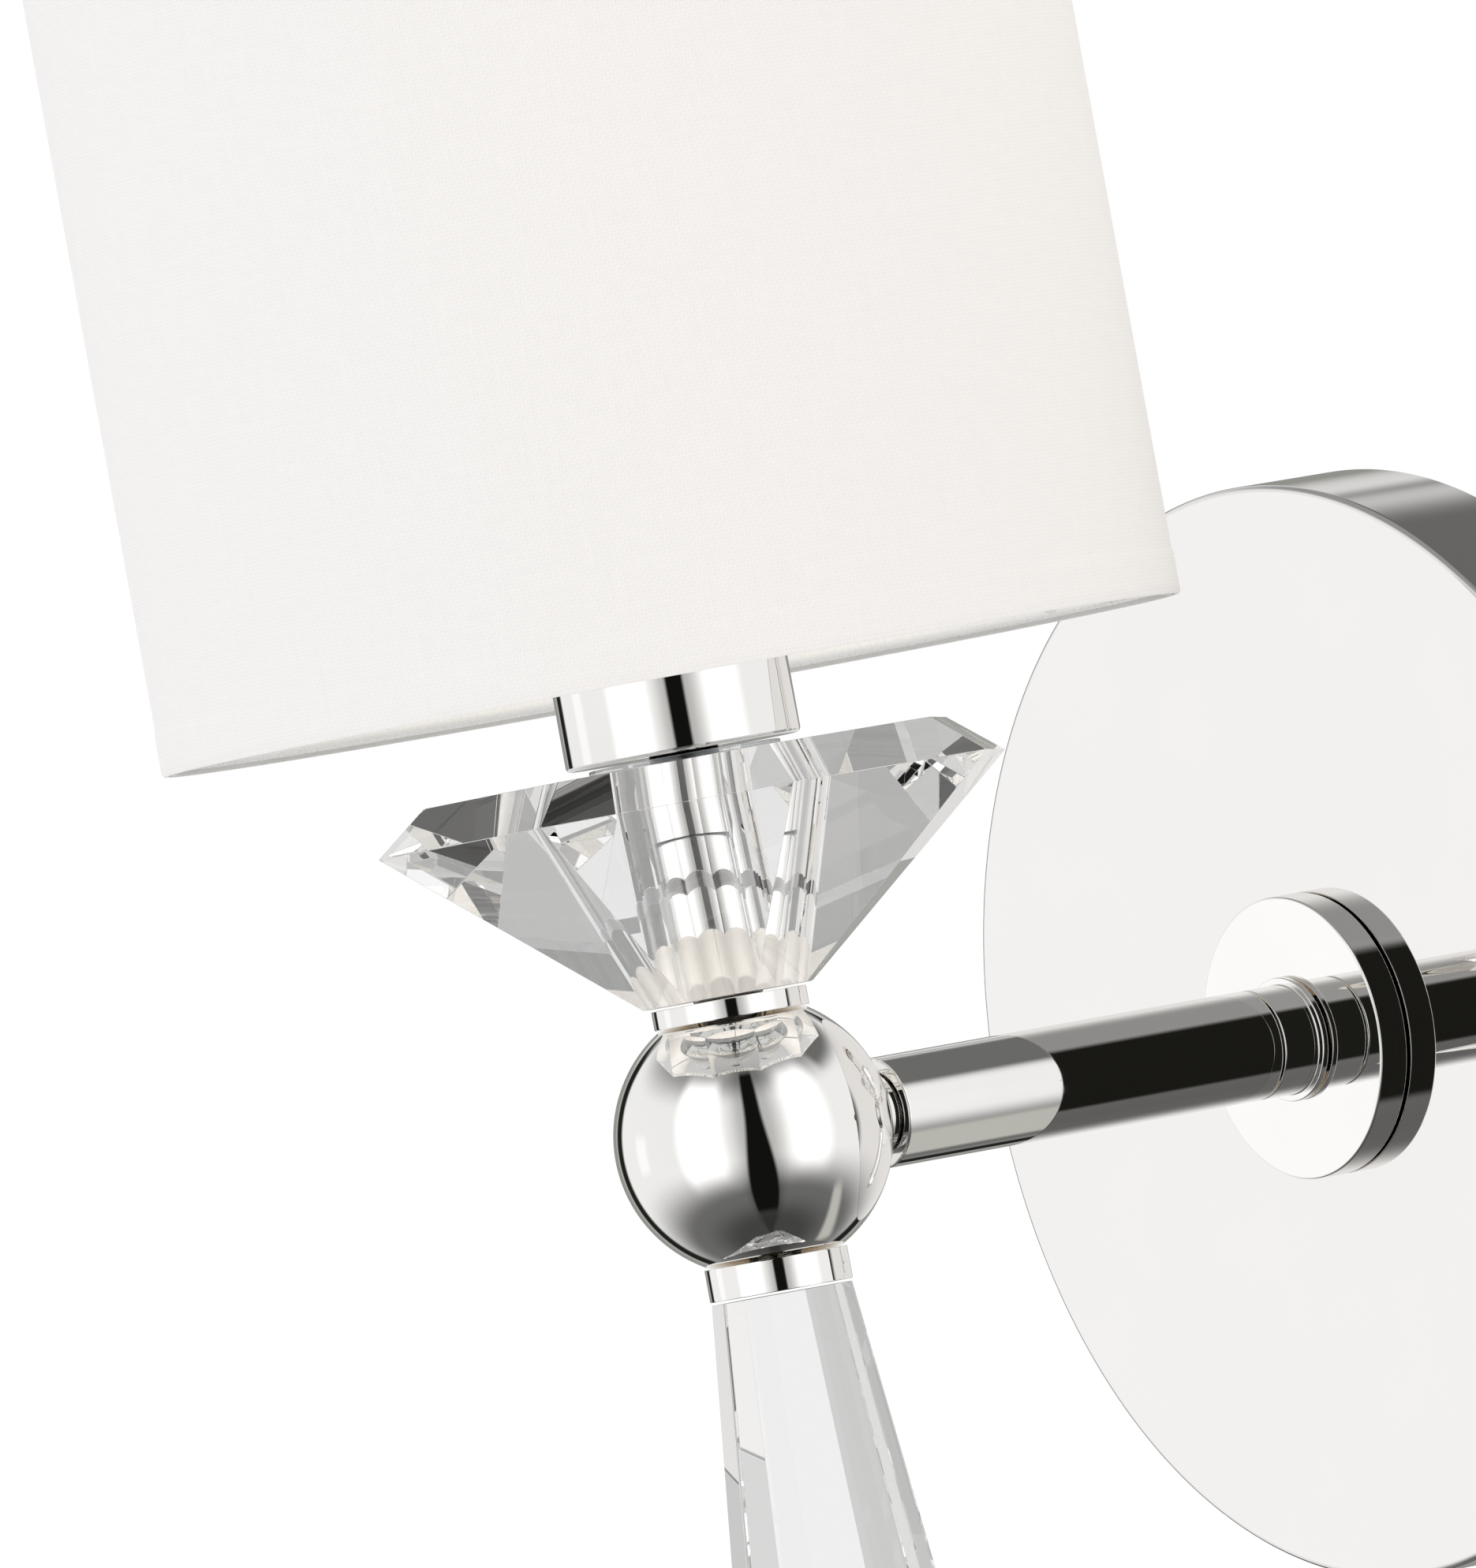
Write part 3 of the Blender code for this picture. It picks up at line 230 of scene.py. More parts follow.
def plastic(name, colour, roughness, speckle=0.05, bump=0.15):
    """Moulded plastic with a fine skin texture."""
    material, graph, shader = new_material(name)
    skin = graph.noise(graph.place(), 2.5, 3.0, 0.6)
    pale = tuple(min(1.0, channel * (1 + speckle) + 0.01) for channel in colour)
    graph.feed(shader.inputs["Base Color"], graph.mix(skin, colour, pale))
    graph.feed(shader.inputs["Roughness"], graph.ramp(skin, 0.3, 0.7, roughness - 0.06, roughness + 0.06))
    graph.feed(shader.inputs["Normal"], graph.bump(skin, bump, 0.05 * MM))
    return material


THREAD = 0.42 * MM          # spacing of the linen's threads


def backlit(material, shader, tint, normal, share):
    """Lets a share of the light through a thin sheet."""
    graph = Graph(material.node_tree)
    through = graph.node("ShaderNodeBsdfTranslucent")
    graph.feed(through.inputs["Color"], tint)
    if normal:
        graph.feed(through.inputs["Normal"], normal)
    both = graph.node("ShaderNodeMixShader")
    both.inputs["Fac"].default_value = share
    graph.feed(both.inputs[1], shader.outputs[0])
    graph.feed(both.inputs[2], through.outputs[0])
    graph.feed(material.node_tree.nodes["Material Output"].inputs["Surface"], both.outputs[0])
    return material


def linen(name, colour, shadow_colour):
    """Woven linen: warp and weft threads of uneven thickness, lit a little from behind."""
    material, graph, shader = new_material(name)
    where = graph.node("ShaderNodeTexCoord").outputs["Object"]
    parts = graph.node("ShaderNodeSeparateXYZ")
    graph.feed(parts.inputs[0], where)
    across = graph.math("SUBTRACT", parts.outputs["Y"], BALL.y)
    around = graph.math("MULTIPLY", graph.math("ARCTAN2", across, parts.outputs["X"]), SHADE_RADIUS)
    height = parts.outputs["Z"]
    flat = graph.node("ShaderNodeCombineXYZ")
    graph.feed(flat.inputs["X"], around)
    graph.feed(flat.inputs["Y"], height)

    def threads(along, other, seed):
        """Rounded threads that run beside each other, with slow wander and slubs."""
        stretched = graph.node("ShaderNodeCombineXYZ")
        graph.feed(stretched.inputs["X"], graph.math("MULTIPLY", along, 1 / THREAD))
        graph.feed(stretched.inputs["Y"], graph.math("MULTIPLY", other, 0.07 / THREAD))
        stretched.inputs["Z"].default_value = seed
        slub = graph.noise(stretched.outputs[0], 0.9, 2.0)
        wander = graph.math("MULTIPLY", graph.math("SUBTRACT", slub, 0.5), 1.6)
        phase = graph.math("ADD", graph.math("MULTIPLY", along, 2 * math.pi / THREAD), wander)
        wave = graph.math("MULTIPLY_ADD", graph.math("SINE", phase), 0.5, 0.5)
        return graph.math("MULTIPLY", wave, graph.math("ADD", 0.45, slub)), slub

    warp, warp_slub = threads(around, height, 3.0)
    weft, weft_slub = threads(height, around, 11.0)
    over = graph.math("SINE", graph.math("MULTIPLY", around, math.pi / THREAD))
    under = graph.math("SINE", graph.math("MULTIPLY", height, math.pi / THREAD))
    weave = graph.math("MULTIPLY_ADD", graph.math("MULTIPLY", over, under), 0.5, 0.5)
    cloth = graph.math("ADD", graph.math("MULTIPLY", warp, weave),
                       graph.math("MULTIPLY", weft, graph.math("SUBTRACT", 1.0, weave)))
    fuzz = graph.noise(flat.outputs[0], 9000.0, 2.0, 0.7)
    relief = graph.math("ADD", cloth, graph.math("MULTIPLY", fuzz, 0.35))
    slubs = graph.math("MULTIPLY", graph.math("ADD", warp_slub, weft_slub), 0.5)
    tone = graph.math("ADD", graph.math("MULTIPLY", graph.ramp(relief, 0.1, 0.9), 0.85),
                      graph.math("MULTIPLY", graph.ramp(slubs, 0.35, 0.65), 0.15))
    tint = graph.mix(tone, shadow_colour, colour)
    graph.feed(shader.inputs["Base Color"], tint)
    shader.inputs["Roughness"].default_value = 0.85
    shader.inputs["Sheen Weight"].default_value = 0.15
    shader.inputs["Specular IOR Level"].default_value = 0.25
    normal = graph.bump(relief, 0.35, 0.05 * MM)
    graph.feed(shader.inputs["Normal"], normal)
    return backlit(material, shader, tint, normal, 0.22)


def styrene(name):
    """Thin white plastic sheet that lets some light through."""
    material, graph, shader = new_material(name)
    skin = graph.noise(graph.place((1, 1, 0.2)), 1.2, 3.0)
    tint = graph.mix(skin, (0.90, 0.89, 0.86), (0.94, 0.93, 0.91))
    graph.feed(shader.inputs["Base Color"], tint)
    graph.feed(shader.inputs["Roughness"], graph.ramp(skin, 0.3, 0.7, 0.38, 0.5))
    return backlit(material, shader, tint, None, 0.3)


def glowing_wire(name):
    """Filament wire with a warm glow."""
    material, graph, shader = new_material(name)
    coil = graph.noise(graph.place(), 3.0, 2.0)
    graph.feed(shader.inputs["Base Color"], graph.mix(coil, (0.5, 0.45, 0.4), (0.6, 0.55, 0.5)))
    shader.inputs["Metallic"].default_value = 1.0
    shader.inputs["Roughness"].default_value = 0.4
    shader.inputs["Emission Color"].default_value = (1.0, 0.62, 0.28, 1)
    shader.inputs["Emission Strength"].default_value = 2.0
    return material


NICKEL = metal("polished_nickel", (0.95, 0.94, 0.925), 0.014, 0.01, tarnish=0.02)
# The backplate's nickel is a darker copy of the other parts' polished nickel: painted shade that keeps the
# plate's mirror face dimmer than the flange's
SHADED_PLATE_NICKEL = metal("backplate_nickel_painted_shade", (0.875, 0.858, 0.843), 0.014, 0.01, tarnish=0.01)
ZINC = metal("zinc_steel", (0.62, 0.63, 0.65), 0.34, 0.08, bump=0.12, tarnish=0.15)
TURNED_STEEL = metal("turned_steel", (0.72, 0.72, 0.72), 0.12, 0.05, (1, 1, 12), 0.8, bump=0.03)
BRASS = metal("brass", (0.86, 0.66, 0.33), 0.22, 0.07, (1, 1, 8), 0.7, bump=0.05, tarnish=0.12)
THREAD_X = threaded("thread_across", ZINC, "X", 0.8)
THREAD_Y = threaded("thread_outward", ZINC, "Y", 0.94)
THREAD_Z = threaded("thread_upright", ZINC, "Z", 0.94)
SOLDER = metal("solder", (0.62, 0.62, 0.62), 0.38, 0.08, bump=0.25)
GREEN = metal("green_screw", (0.05, 0.32, 0.12), 0.36, 0.06)
CRYSTAL = glass("crystal", (1.0, 1.0, 1.0), 1.56, 0.006)
BULB_GLASS = glass("bulb_glass", (0.995, 0.99, 0.98), 1.45, 0.01)
VINYL = glass("clear_vinyl", (0.90, 0.92, 0.93), 1.5, 0.25)
PHENOLIC = plastic("white_phenolic", (0.82, 0.81, 0.78), 0.35, 0.03)
ENAMEL = plastic("white_enamel", (0.86, 0.85, 0.83), 0.3, 0.02, 0.1)
BLACK = plastic("black_jacket", (0.02, 0.02, 0.02), 0.42, 0.3)
WHITE = plastic("white_jacket", (0.82, 0.82, 0.8), 0.42, 0.03)
GREEN_JACKET = plastic("green_jacket", (0.03, 0.25, 0.08), 0.42, 0.15)
ORANGE = plastic("orange_cap", (0.86, 0.30, 0.04), 0.38, 0.05, 0.3)
LINEN = linen("linen", (0.955, 0.93, 0.905), (0.90, 0.875, 0.85))
STYRENE = styrene("styrene")
FILAMENT = glowing_wire("filament")


# Shapes -------------------------------------------------------------------------------------------

def placed(name, data):
    """A new object in the scene."""
    made = bpy.data.objects.new(name, data)
    bpy.context.scene.collection.objects.link(made)
    return made


def built(name, builder):
    """The mesh that a bmesh has made."""
    mesh = bpy.data.meshes.new(name)
    builder.to_mesh(mesh)
    builder.free()
    return mesh


def show(name, mesh, material, nodes):
    """A new piece that stands for CAD nodes: it rides on their body, takes the given material and hides the
    nodes.
    """
    piece = placed(name, mesh)
    piece.data.materials.clear()
    piece.data.materials.append(material)
    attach(piece, frame["nodes"][nodes[0]]["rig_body"])
    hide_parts(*nodes)
    return piece


def welded(node):
    """The CAD node's mesh with its corners joined."""
    builder = bmesh.new()
    builder.from_mesh(frame["nodes"][node].data)
    bmesh.ops.remove_doubles(builder, verts=builder.verts, dist=0.001 * MM)
    return builder


def outline(node, placement):
    """The closed outline of a turned CAD node: (radius, height) points, counter-clockwise."""
    builder = welded(node)
    builder.transform(placement.inverted())
    for normal in ((0, 1, 0), (1, 0, 0)):
        geometry = builder.verts[:] + builder.edges[:] + builder.faces[:]
        bmesh.ops.bisect_plane(builder, geom=geometry, dist=0.0001 * MM, plane_co=(0, 0, 0), plane_no=normal)
    links = {}
    for edge in builder.edges:
        ends = [(round(v.co.y, 7), round(v.co.z, 7)) for v in edge.verts]
        flat = all(abs(v.co.x) < ON_AXIS and v.co.y > -ON_AXIS for v in edge.verts)
        if flat and max(end[0] for end in ends) > ON_AXIS and ends[0] != ends[1]:
            links.setdefault(ends[0], set()).add(ends[1])
            links.setdefault(ends[1], set()).add(ends[0])
    builder.free()
    starts = [point for point, found in links.items() if len(found) == 1]
    walk = [min(starts or links)]
    while True:
        onward = [p for p in links[walk[-1]] if p not in walk[-2:] and p != walk[0]]
        if not onward:
            break
        walk.append(onward[0])
    area = sum(a[0] * b[1] - b[0] * a[1] for a, b in zip(walk, walk[1:] + walk[:1]))
    if area < 0:
        walk.reverse()
    return straightened([Vector(p) for p in walk], not starts)


def straightened(points, closed):
    """The same outline without the points in the middle of its straight runs."""
    kept = []
    for i, point in enumerate(points):
        before, after = points[i - 1], points[(i + 1) % len(points)]
        ends = not closed and i in (0, len(points) - 1)
        if ends or abs((point - before).normalized().cross((after - point).normalized())) > 0.005:
            kept.append(point)
    return kept


SMOOTH_TURN = math.radians(28)      # an outline's smaller corners are part of a curve
EDGE_STEPS = 3


def rounded(points, closed, edge):
    """An outline as (point, normal) samples, with its sharp corners rounded to the radius edge."""
    samples = []
    for i, point in enumerate(points):
        if not closed and i in (0, len(points) - 1):
            other = points[1] if i == 0 else points[-2]
            run = (other - point) if i == 0 else (point - other)
            samples.append((point, Vector((run.y, -run.x)).normalized()))
            continue
        arriving, leaving = point - points[i - 1], points[(i + 1) % len(points)] - point
        first = Vector((arriving.y, -arriving.x)).normalized()
        second = Vector((leaving.y, -leaving.x)).normalized()
        turn = first.angle_signed(second)
        if abs(turn) < SMOOTH_TURN:
            weighed = first * arriving.length_squared + second * leaving.length_squared
            samples.append((point, weighed.normalized()))
            continue
        reach = min(edge * math.tan(abs(turn) / 2), 0.42 * arriving.length, 0.42 * leaving.length)
        radius = reach / math.tan(abs(turn) / 2)
        convex = arriving.cross(leaving) > 0
        side = -1 if convex else 1
        centre = point - arriving.normalized() * reach + first * side * radius
        for k in range(EDGE_STEPS + 1):
            part = k / EDGE_STEPS
            blend = first * math.sin((1 - part) * abs(turn)) + second * math.sin(part * abs(turn))
            normal = blend.normalized()
            samples.append((centre - normal * side * radius, normal))
    return samples


def revolve(name, samples, closed, placement, steps):
    """A turned mesh whose shading follows the samples' own normals."""
    rings, points, faces, normals = [], [], [], []
    turns = [2 * math.pi * k / steps for k in range(steps)]
    for place, _ in samples:
        start = len(points)
        if place.x < ON_AXIS:
            points.append((0, 0, place.y))
            rings.append([start] * steps)
        else:
            points += [(place.x * math.cos(a), place.x * math.sin(a), place.y) for a in turns]
            rings.append(list(range(start, start + steps)))
    count = len(samples) if closed else len(samples) - 1
    for i in range(count):
        j = (i + 1) % len(samples)
        for k in range(steps):
            n = (k + 1) % steps
            corners = [(rings[i][k], i, k), (rings[i][n], i, n), (rings[j][n], j, n), (rings[j][k], j, k)]
            kept = [c for c, follower in zip(corners, corners[1:] + corners[:1]) if c[0] != follower[0]]
            faces.append([c[0] for c in kept])
            normals += [Vector((samples[s][1].x * math.cos(turns[t]), samples[s][1].x * math.sin(turns[t]),
                                samples[s][1].y)) for _, s, t in kept]
    mesh = bpy.data.meshes.new(name)
    mesh.from_pydata([placement @ Vector(p) for p in points], [], faces)
    mesh.shade_smooth()
    turn = placement.to_3x3()
    mesh.normals_split_custom_set([turn @ n for n in normals])
    return mesh


def turned(name, points, closed, placement, steps, edge):
    return revolve(name, rounded([Vector(p) for p in points], closed, edge), closed, placement, steps)


def returned(node, placement, material, edge, steps=SMALL):
    """A turned CAD node made again with fine facets and rounded edges."""
    points = outline(node, placement)
    closed = min(p.x for p in points) > 0.001 * MM
    name = node + "_turned"
    return show(name, turned(name, points, closed, placement, steps, edge), material, [node])


def sharpened(mesh, angle):
    """Shades a turned mesh by its own faces, with its edges found by angle."""
    mesh.attributes.remove(mesh.attributes["custom_normal"])
    mesh.set_sharp_from_angle(angle=math.radians(angle))


def settled(piece):
    """Applies the piece's modifiers."""
    graph = bpy.context.evaluated_depsgraph_get()
    mesh = bpy.data.meshes.new_from_object(piece.evaluated_get(graph))
    piece.modifiers.clear()
    piece.data = mesh
    return piece


def bevelled(piece, width, angle=30):
    bevel = piece.modifiers.new("edges", "BEVEL")
    bevel.width = width
    bevel.segments = 2
    bevel.limit_method = "ANGLE"
    bevel.angle_limit = math.radians(angle)
    bevel.harden_normals = True
    bevel.use_clamp_overlap = True
    return settled(piece)


def carved(piece, cutters, sharp=None):
    """Cuts the cutters out of a piece, throws them away and, with sharp, finds the edges again by angle."""
    for cutter in cutters:
        cut = piece.modifiers.new("cut", "BOOLEAN")
        cut.object = cutter
        settled(piece)
        bpy.data.objects.remove(cutter)
    if sharp:
        sharpened(piece.data, sharp)
    return piece


def block(name, low, high, placement):
    """A box cutter in the placement's frame."""
    low, high = Vector(low), Vector(high)
    builder = bmesh.new()
    bmesh.ops.create_cube(builder, size=1.0)
    builder.transform(placement @ Matrix.Translation((high + low) / 2) @ Matrix.Diagonal((*(high - low), 1)))
    return placed(name, built(name, builder))


def rod(name, start, end, radius, steps=SMALL):
    """A round cutter from start to end."""
    builder = bmesh.new()
    bmesh.ops.create_cone(builder, cap_ends=True, segments=steps, radius1=radius, radius2=radius,
                          depth=(end - start).length)
    turn = (end - start).to_track_quat("Z", "Y").to_matrix().to_4x4()
    builder.transform(Matrix.Translation((start + end) / 2) @ turn)
    return placed(name, built(name, builder))


def screw(node, placement, material, thread, cross=False):
    """A screw with a driver slot in its head and threads on its shank."""
    points = outline(node, placement)
    piece = returned(node, placement, material, 0.15 * MM)
    top = max(p.y for p in points)
    head = max(p.x for p in points)
    cuts = [(head * 1.1, 0.45 * MM)]
    if cross:
        cuts = [(head * 0.6, 0.4 * MM), (0.4 * MM, head * 0.6)]
    slots = [block(node + "_slot", (-wide, -deep, top - MM), (wide, deep, top + MM), placement)
             for wide, deep in cuts]
    carved(piece, slots, 40)
    piece.data.materials.append(thread)
    shank = min(p.x for p in points if p.x > 0.5 * MM) + 0.1 * MM
    inverse = placement.inverted()
    for face in piece.data.polygons:
        centre = inverse @ face.center
        if math.hypot(centre.x, centre.y) < shank and centre.z < top - 2.0 * MM:
            face.material_index = 1
    return piece


def ribbed(node, placement, material, count, depth):
    """A turned node with grip ribs on its side."""
    piece = returned(node, placement, material, 0.3 * MM, 12 * count)
    points = outline(node, placement)
    low, high = min(p.y for p in points), max(p.y for p in points)
    wide = max(p.x for p in points)
    inverse = placement.inverted()
    for vertex in piece.data.vertices:
        spot = inverse @ vertex.co
        away = math.hypot(spot.x, spot.y)
        inside = min(spot.z - low, high - spot.z) > 1.5 * MM
        if away > 0.5 * wide and inside:
            wave = depth * (math.cos(count * math.atan2(spot.y, spot.x)) - 1) / 2
            spot.xy *= (away + wave) / away
            vertex.co = placement @ spot
    sharpened(piece.data, 40)
    return piece


def refined(node, material, edge=0.0, smooth=35):
    """A CAD node's own shape with its facets joined, its round faces smooth and its edges rounded."""
    builder = welded(node)
    bmesh.ops.dissolve_limit(builder, angle_limit=math.radians(1), verts=builder.verts, edges=builder.edges)
    mesh = built(node + "_finished", builder)
    mesh.shade_smooth()
    mesh.set_sharp_from_angle(angle=math.radians(smooth))
    piece = show(node + "_finished", mesh, material, [node])
    return bevelled(piece, edge) if edge else piece


def hull(node):
    """The convex solid around a CAD node, which closes its bores."""
    source = welded(node)
    builder = bmesh.new()
    for vertex in source.verts:
        builder.verts.new(vertex.co)
    source.free()
    made = bmesh.ops.convex_hull(builder, input=builder.verts)
    inside = {item for item in made["geom_interior"] if isinstance(item, bmesh.types.BMVert)}
    bmesh.ops.delete(builder, geom=list(inside), context="VERTS")
    bmesh.ops.dissolve_limit(builder, angle_limit=math.radians(1), verts=builder.verts, edges=builder.edges)
    return builder


def cut_crystal(node, edge):
    """A crystal with flat facets and softened edges, still without its bore."""
    mesh = built(node + "_cut", hull(node))
    mesh.shade_smooth()
    mesh.set_sharp_from_angle(angle=math.radians(1))
    piece = show(node + "_cut", mesh, CRYSTAL, [node])
    return bevelled(piece, edge, 5)


# Metal parts --------------------------------------------------------------------------------------

def bore_radius(node, placement):
    return min(p.x for p in outline(node, placement))


def side_axis(node, side):
    at = middle(node)
    return Matrix.Translation((0, at.y, at.z)) @ ALONG_X[side]


def hole_radius(node, side):
    """The radius of a side screw's hole in the backplate."""
    points = outline(node, side_axis(node, side))
    return min(p.x for p in points if p.x > 0.5 * MM) + 0.3 * MM


def make_wall_side():
    # The backplate takes the darker copy of the nickel: painted shade
    plate = returned("backplate", OUTWARD, SHADED_PLATE_NICKEL, 0.12 * MM, FINEST)
    sides = ((-1, "left"), (1, "right"))
    holes = []
    for side, label in sides:
        node = "side_screw_" + label
        half = Vector(((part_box(node)[1].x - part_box(node)[0].x) / 2 + 9 * MM, 0, 0))
        holes.append(rod("hole_" + label, middle(node) - half, middle(node) + half, hole_radius(node, side)))
    carved(plate, holes)
    returned("flange_disc", OUTWARD, NICKEL, 0.1 * MM, FINEST)
    returned("arm_collar", OUTWARD, NICKEL, 0.15 * MM, FINE)
    returned("wall_nipple", OUTWARD, THREAD_Y, 0.2 * MM)
    returned("lock_washer", OUTWARD, ZINC, 0.1 * MM)
    refined("wall_nut", BRASS, 0.3 * MM)
    refined("mounting_bracket", ZINC, 0.25 * MM)
    for side, label in sides:
        screw("side_screw_" + label, side_axis("side_screw_" + label, side), NICKEL, THREAD_X)
        at = middle("box_screw_" + label)
        screw("box_screw_" + label, Matrix.Translation((at.x, 0, at.z)) @ OUTWARD, ZINC, THREAD_Y, True)
    at = middle("ground_screw")
    screw("ground_screw", Matrix.Translation((at.x, 0, at.z)) @ OUTWARD, GREEN, GREEN, True)


def make_arm():
    returned("arm_tube", OUTWARD, NICKEL, 0.25 * MM, FINEST)
    returned("ball_nipple", OUTWARD, THREAD_Y, 0.2 * MM)
    returned("ball_neck", OUTWARD, NICKEL, 0.1 * MM, FINE)


def make_ball():
    """A sphere with a bore at its top and one at its foot."""
    radius = (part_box("ball")[1].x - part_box("ball")[0].x) / 2
    points = outline("ball", UPRIGHT)
    top = max(points, key=lambda p: p.y)
    foot = min(points, key=lambda p: p.y)
    start, end = math.atan2(foot.y, foot.x), math.atan2(top.y, top.x)
    steps = FINE
    surface = []
    for k in range(steps + 1):
        angle = start + (end - start) * k / steps
        normal = Vector((math.cos(angle), math.sin(angle)))
        surface.append((normal * radius, normal))
    inward = Vector((-1, 0))
    samples = surface + [(Vector((top.x, 0)), inward), (Vector((foot.x, -top.x)), inward)]
    show("ball_polished", revolve("ball_polished", samples, True, UPRIGHT, FINEST), NICKEL, ["ball"])


def make_stack():
    returned("upper_collar", UPRIGHT, NICKEL, 0.12 * MM, FINE)
    returned("lower_collar", UPRIGHT, NICKEL, 0.12 * MM, FINE)
    returned("bobeche_washer", UPRIGHT, VINYL, 0.15 * MM)
    returned("cup", UPRIGHT, NICKEL, 0.15 * MM, FINEST)
    returned("cup_washer", UPRIGHT, ZINC, 0.15 * MM)
    returned("stem", UPRIGHT, THREAD_Z, 0.2 * MM)
    returned("crystal_sleeve", UPRIGHT, NICKEL, 0.15 * MM, FINEST)
    refined("stem_nut", BRASS, 0.3 * MM)
    returned("drop_rod", UPRIGHT, TURNED_STEEL, 0.3 * MM)


# Crystals -----------------------------------------------------------------------------------------

CRYSTAL_EDGE = 0.07 * MM


def make_crystals():
    low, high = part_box("crystal_bobeche")
    bore = rod("bobeche_bore", BALL + Vector((0, 0, low.z - MM)), BALL + Vector((0, 0, high.z + MM)),
               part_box("crystal_sleeve")[1].x + 0.3 * MM, FINE)
    carved(cut_crystal("crystal_bobeche", CRYSTAL_EDGE), [bore])
    cut_crystal("crystal_drop", CRYSTAL_EDGE)


# Lampholder and bulb ------------------------------------------------------------------------------

def make_lampholder():
    returned("socket_cap", UPRIGHT, PHENOLIC, 0.3 * MM)
    returned("socket_body", UPRIGHT, PHENOLIC, 0.3 * MM, FINE)
    returned("screw_shell", UPRIGHT, BRASS, 0.1 * MM)
    returned("centre_contact", UPRIGHT, BRASS, 0.2 * MM)
    returned("shade_ring", UPRIGHT, PHENOLIC, 0.3 * MM, FINE)


def curve_samples(points, steps):
    """(point, normal) samples of a smooth curve through the points."""
    points = [Vector(p) for p in points]
    padded = [points[0] * 2 - points[1]] + points + [points[-1] * 2 - points[-2]]
    placed = []
    for a, b, c, d in zip(padded, padded[1:], padded[2:], padded[3:]):
        for k in range(steps):
            t = k / steps
            placed.append(0.5 * (2 * b + (c - a) * t + (2 * a - 5 * b + 4 * c - d) * t * t
                                 + (3 * b - a - 3 * c + d) * t ** 3))
    placed.append(points[-1])
    samples = []
    for i, place in enumerate(placed):
        run = placed[min(i + 1, len(placed) - 1)] - placed[max(i - 1, 0)]
        normal = Vector((run.y, -run.x)).normalized()
        if place.x < ON_AXIS:
            place, normal = Vector((0, place.y)), Vector((0, math.copysign(1, normal.y)))
        samples.append((place, normal))
    return samples


def make_bulb():
    returned("bulb_contact", UPRIGHT, SOLDER, 0.3 * MM)
    returned("bulb_cap", UPRIGHT, BRASS, 0.1 * MM)
    returned("bulb_mount", UPRIGHT, BULB_GLASS, 0.3 * MM)
    refined("bulb_filament", FILAMENT, smooth=70)
    low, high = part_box("bulb_glass")
    points = outline("bulb_glass", UPRIGHT)
    rim = min(range(len(points)), key=lambda i: points[i].y - points[i].x)
    inner, outer = points[:rim], points[rim:]
    samples = curve_samples(inner, 6) + curve_samples(outer, 6)
    piece = show("bulb_glass_blown", revolve("bulb_glass_blown", samples, False, UPRIGHT, FINE), BULB_GLASS,
                 ["bulb_glass"])
    piece.visible_shadow = False


# Shade --------------------------------------------------------------------------------------------

HEM = 5.0 * MM              # width of the turned-over edge
HEM_PROUD = 0.14 * MM
SEAM = 9.0 * MM             # width of the overlap at the back
SEAM_PROUD = 0.22 * MM
COVER_COLUMNS = 360
COVER_ROWS = 48


def step_up(value, start, width):
    """Rises smoothly from zero to one from start over width."""
    t = min(1.0, max(0.0, (value - start) / width))
    return t * t * (3 - 2 * t)


def make_shade():
    low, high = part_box("shade_cover")
    inner = bore_radius("shade_cover", UPRIGHT)
    outer = high.x
    height = high.z - low.z
    fine = [0.0, 0.3 * MM, 1.5 * MM, 3.0 * MM, HEM - 0.4 * MM, HEM - 0.1 * MM, HEM + 0.2 * MM, HEM + 0.5 * MM]
    rest = [HEM + 1.5 * MM + (height - 2 * HEM - 3 * MM) * k / COVER_ROWS for k in range(COVER_ROWS + 1)]
    rows = sorted(set(fine + rest + [height - z for z in fine]))

    def surface(angle, rise):
        hem = 1 - step_up(min(rise, height - rise), HEM - 0.4 * MM, 0.7 * MM)
        away = abs((angle - math.pi / 2 + math.pi) % (2 * math.pi) - math.pi) * outer
        seam = 1 - step_up(away, SEAM / 2 - 0.5 * MM, 0.8 * MM)
        lip = 1 - step_up(min(rise, height - rise), 0.0, 0.35 * MM)
        return outer - 0.05 * MM + HEM_PROUD * hem + SEAM_PROUD * seam - 0.2 * MM * lip

    points, faces = [], []
    for layer in (surface, lambda angle, rise: inner):      # outside, then inside
        for rise in rows:
            for k in range(COVER_COLUMNS):
                angle = 2 * math.pi * k / COVER_COLUMNS
                radius = layer(angle, rise)
                points.append((radius * math.cos(angle), -REACH + radius * math.sin(angle), low.z + rise))
    block = len(rows) * COVER_COLUMNS
    for layer in range(2):
        for i in range(len(rows) - 1):
            for k in range(COVER_COLUMNS):
                n = (k + 1) % COVER_COLUMNS
                a = layer * block + i * COVER_COLUMNS
                face = (a + k, a + n, a + COVER_COLUMNS + n, a + COVER_COLUMNS + k)
                faces.append(face if layer == 0 else face[::-1])
    top = (len(rows) - 1) * COVER_COLUMNS
    for k in range(COVER_COLUMNS):
        n = (k + 1) % COVER_COLUMNS
        faces.append((k, block + k, block + n, n))
        faces.append((top + k, top + n, block + top + n, block + top + k))
    mesh = bpy.data.meshes.new("shade_linen")
    mesh.from_pydata(points, [], faces)
    mesh.shade_smooth()
    mesh.set_sharp_from_angle(angle=math.radians(50))
    cover = show("shade_linen", mesh, LINEN, ["shade_cover"])
    returned("shade_liner", UPRIGHT, STYRENE, 0.1 * MM, FINEST)


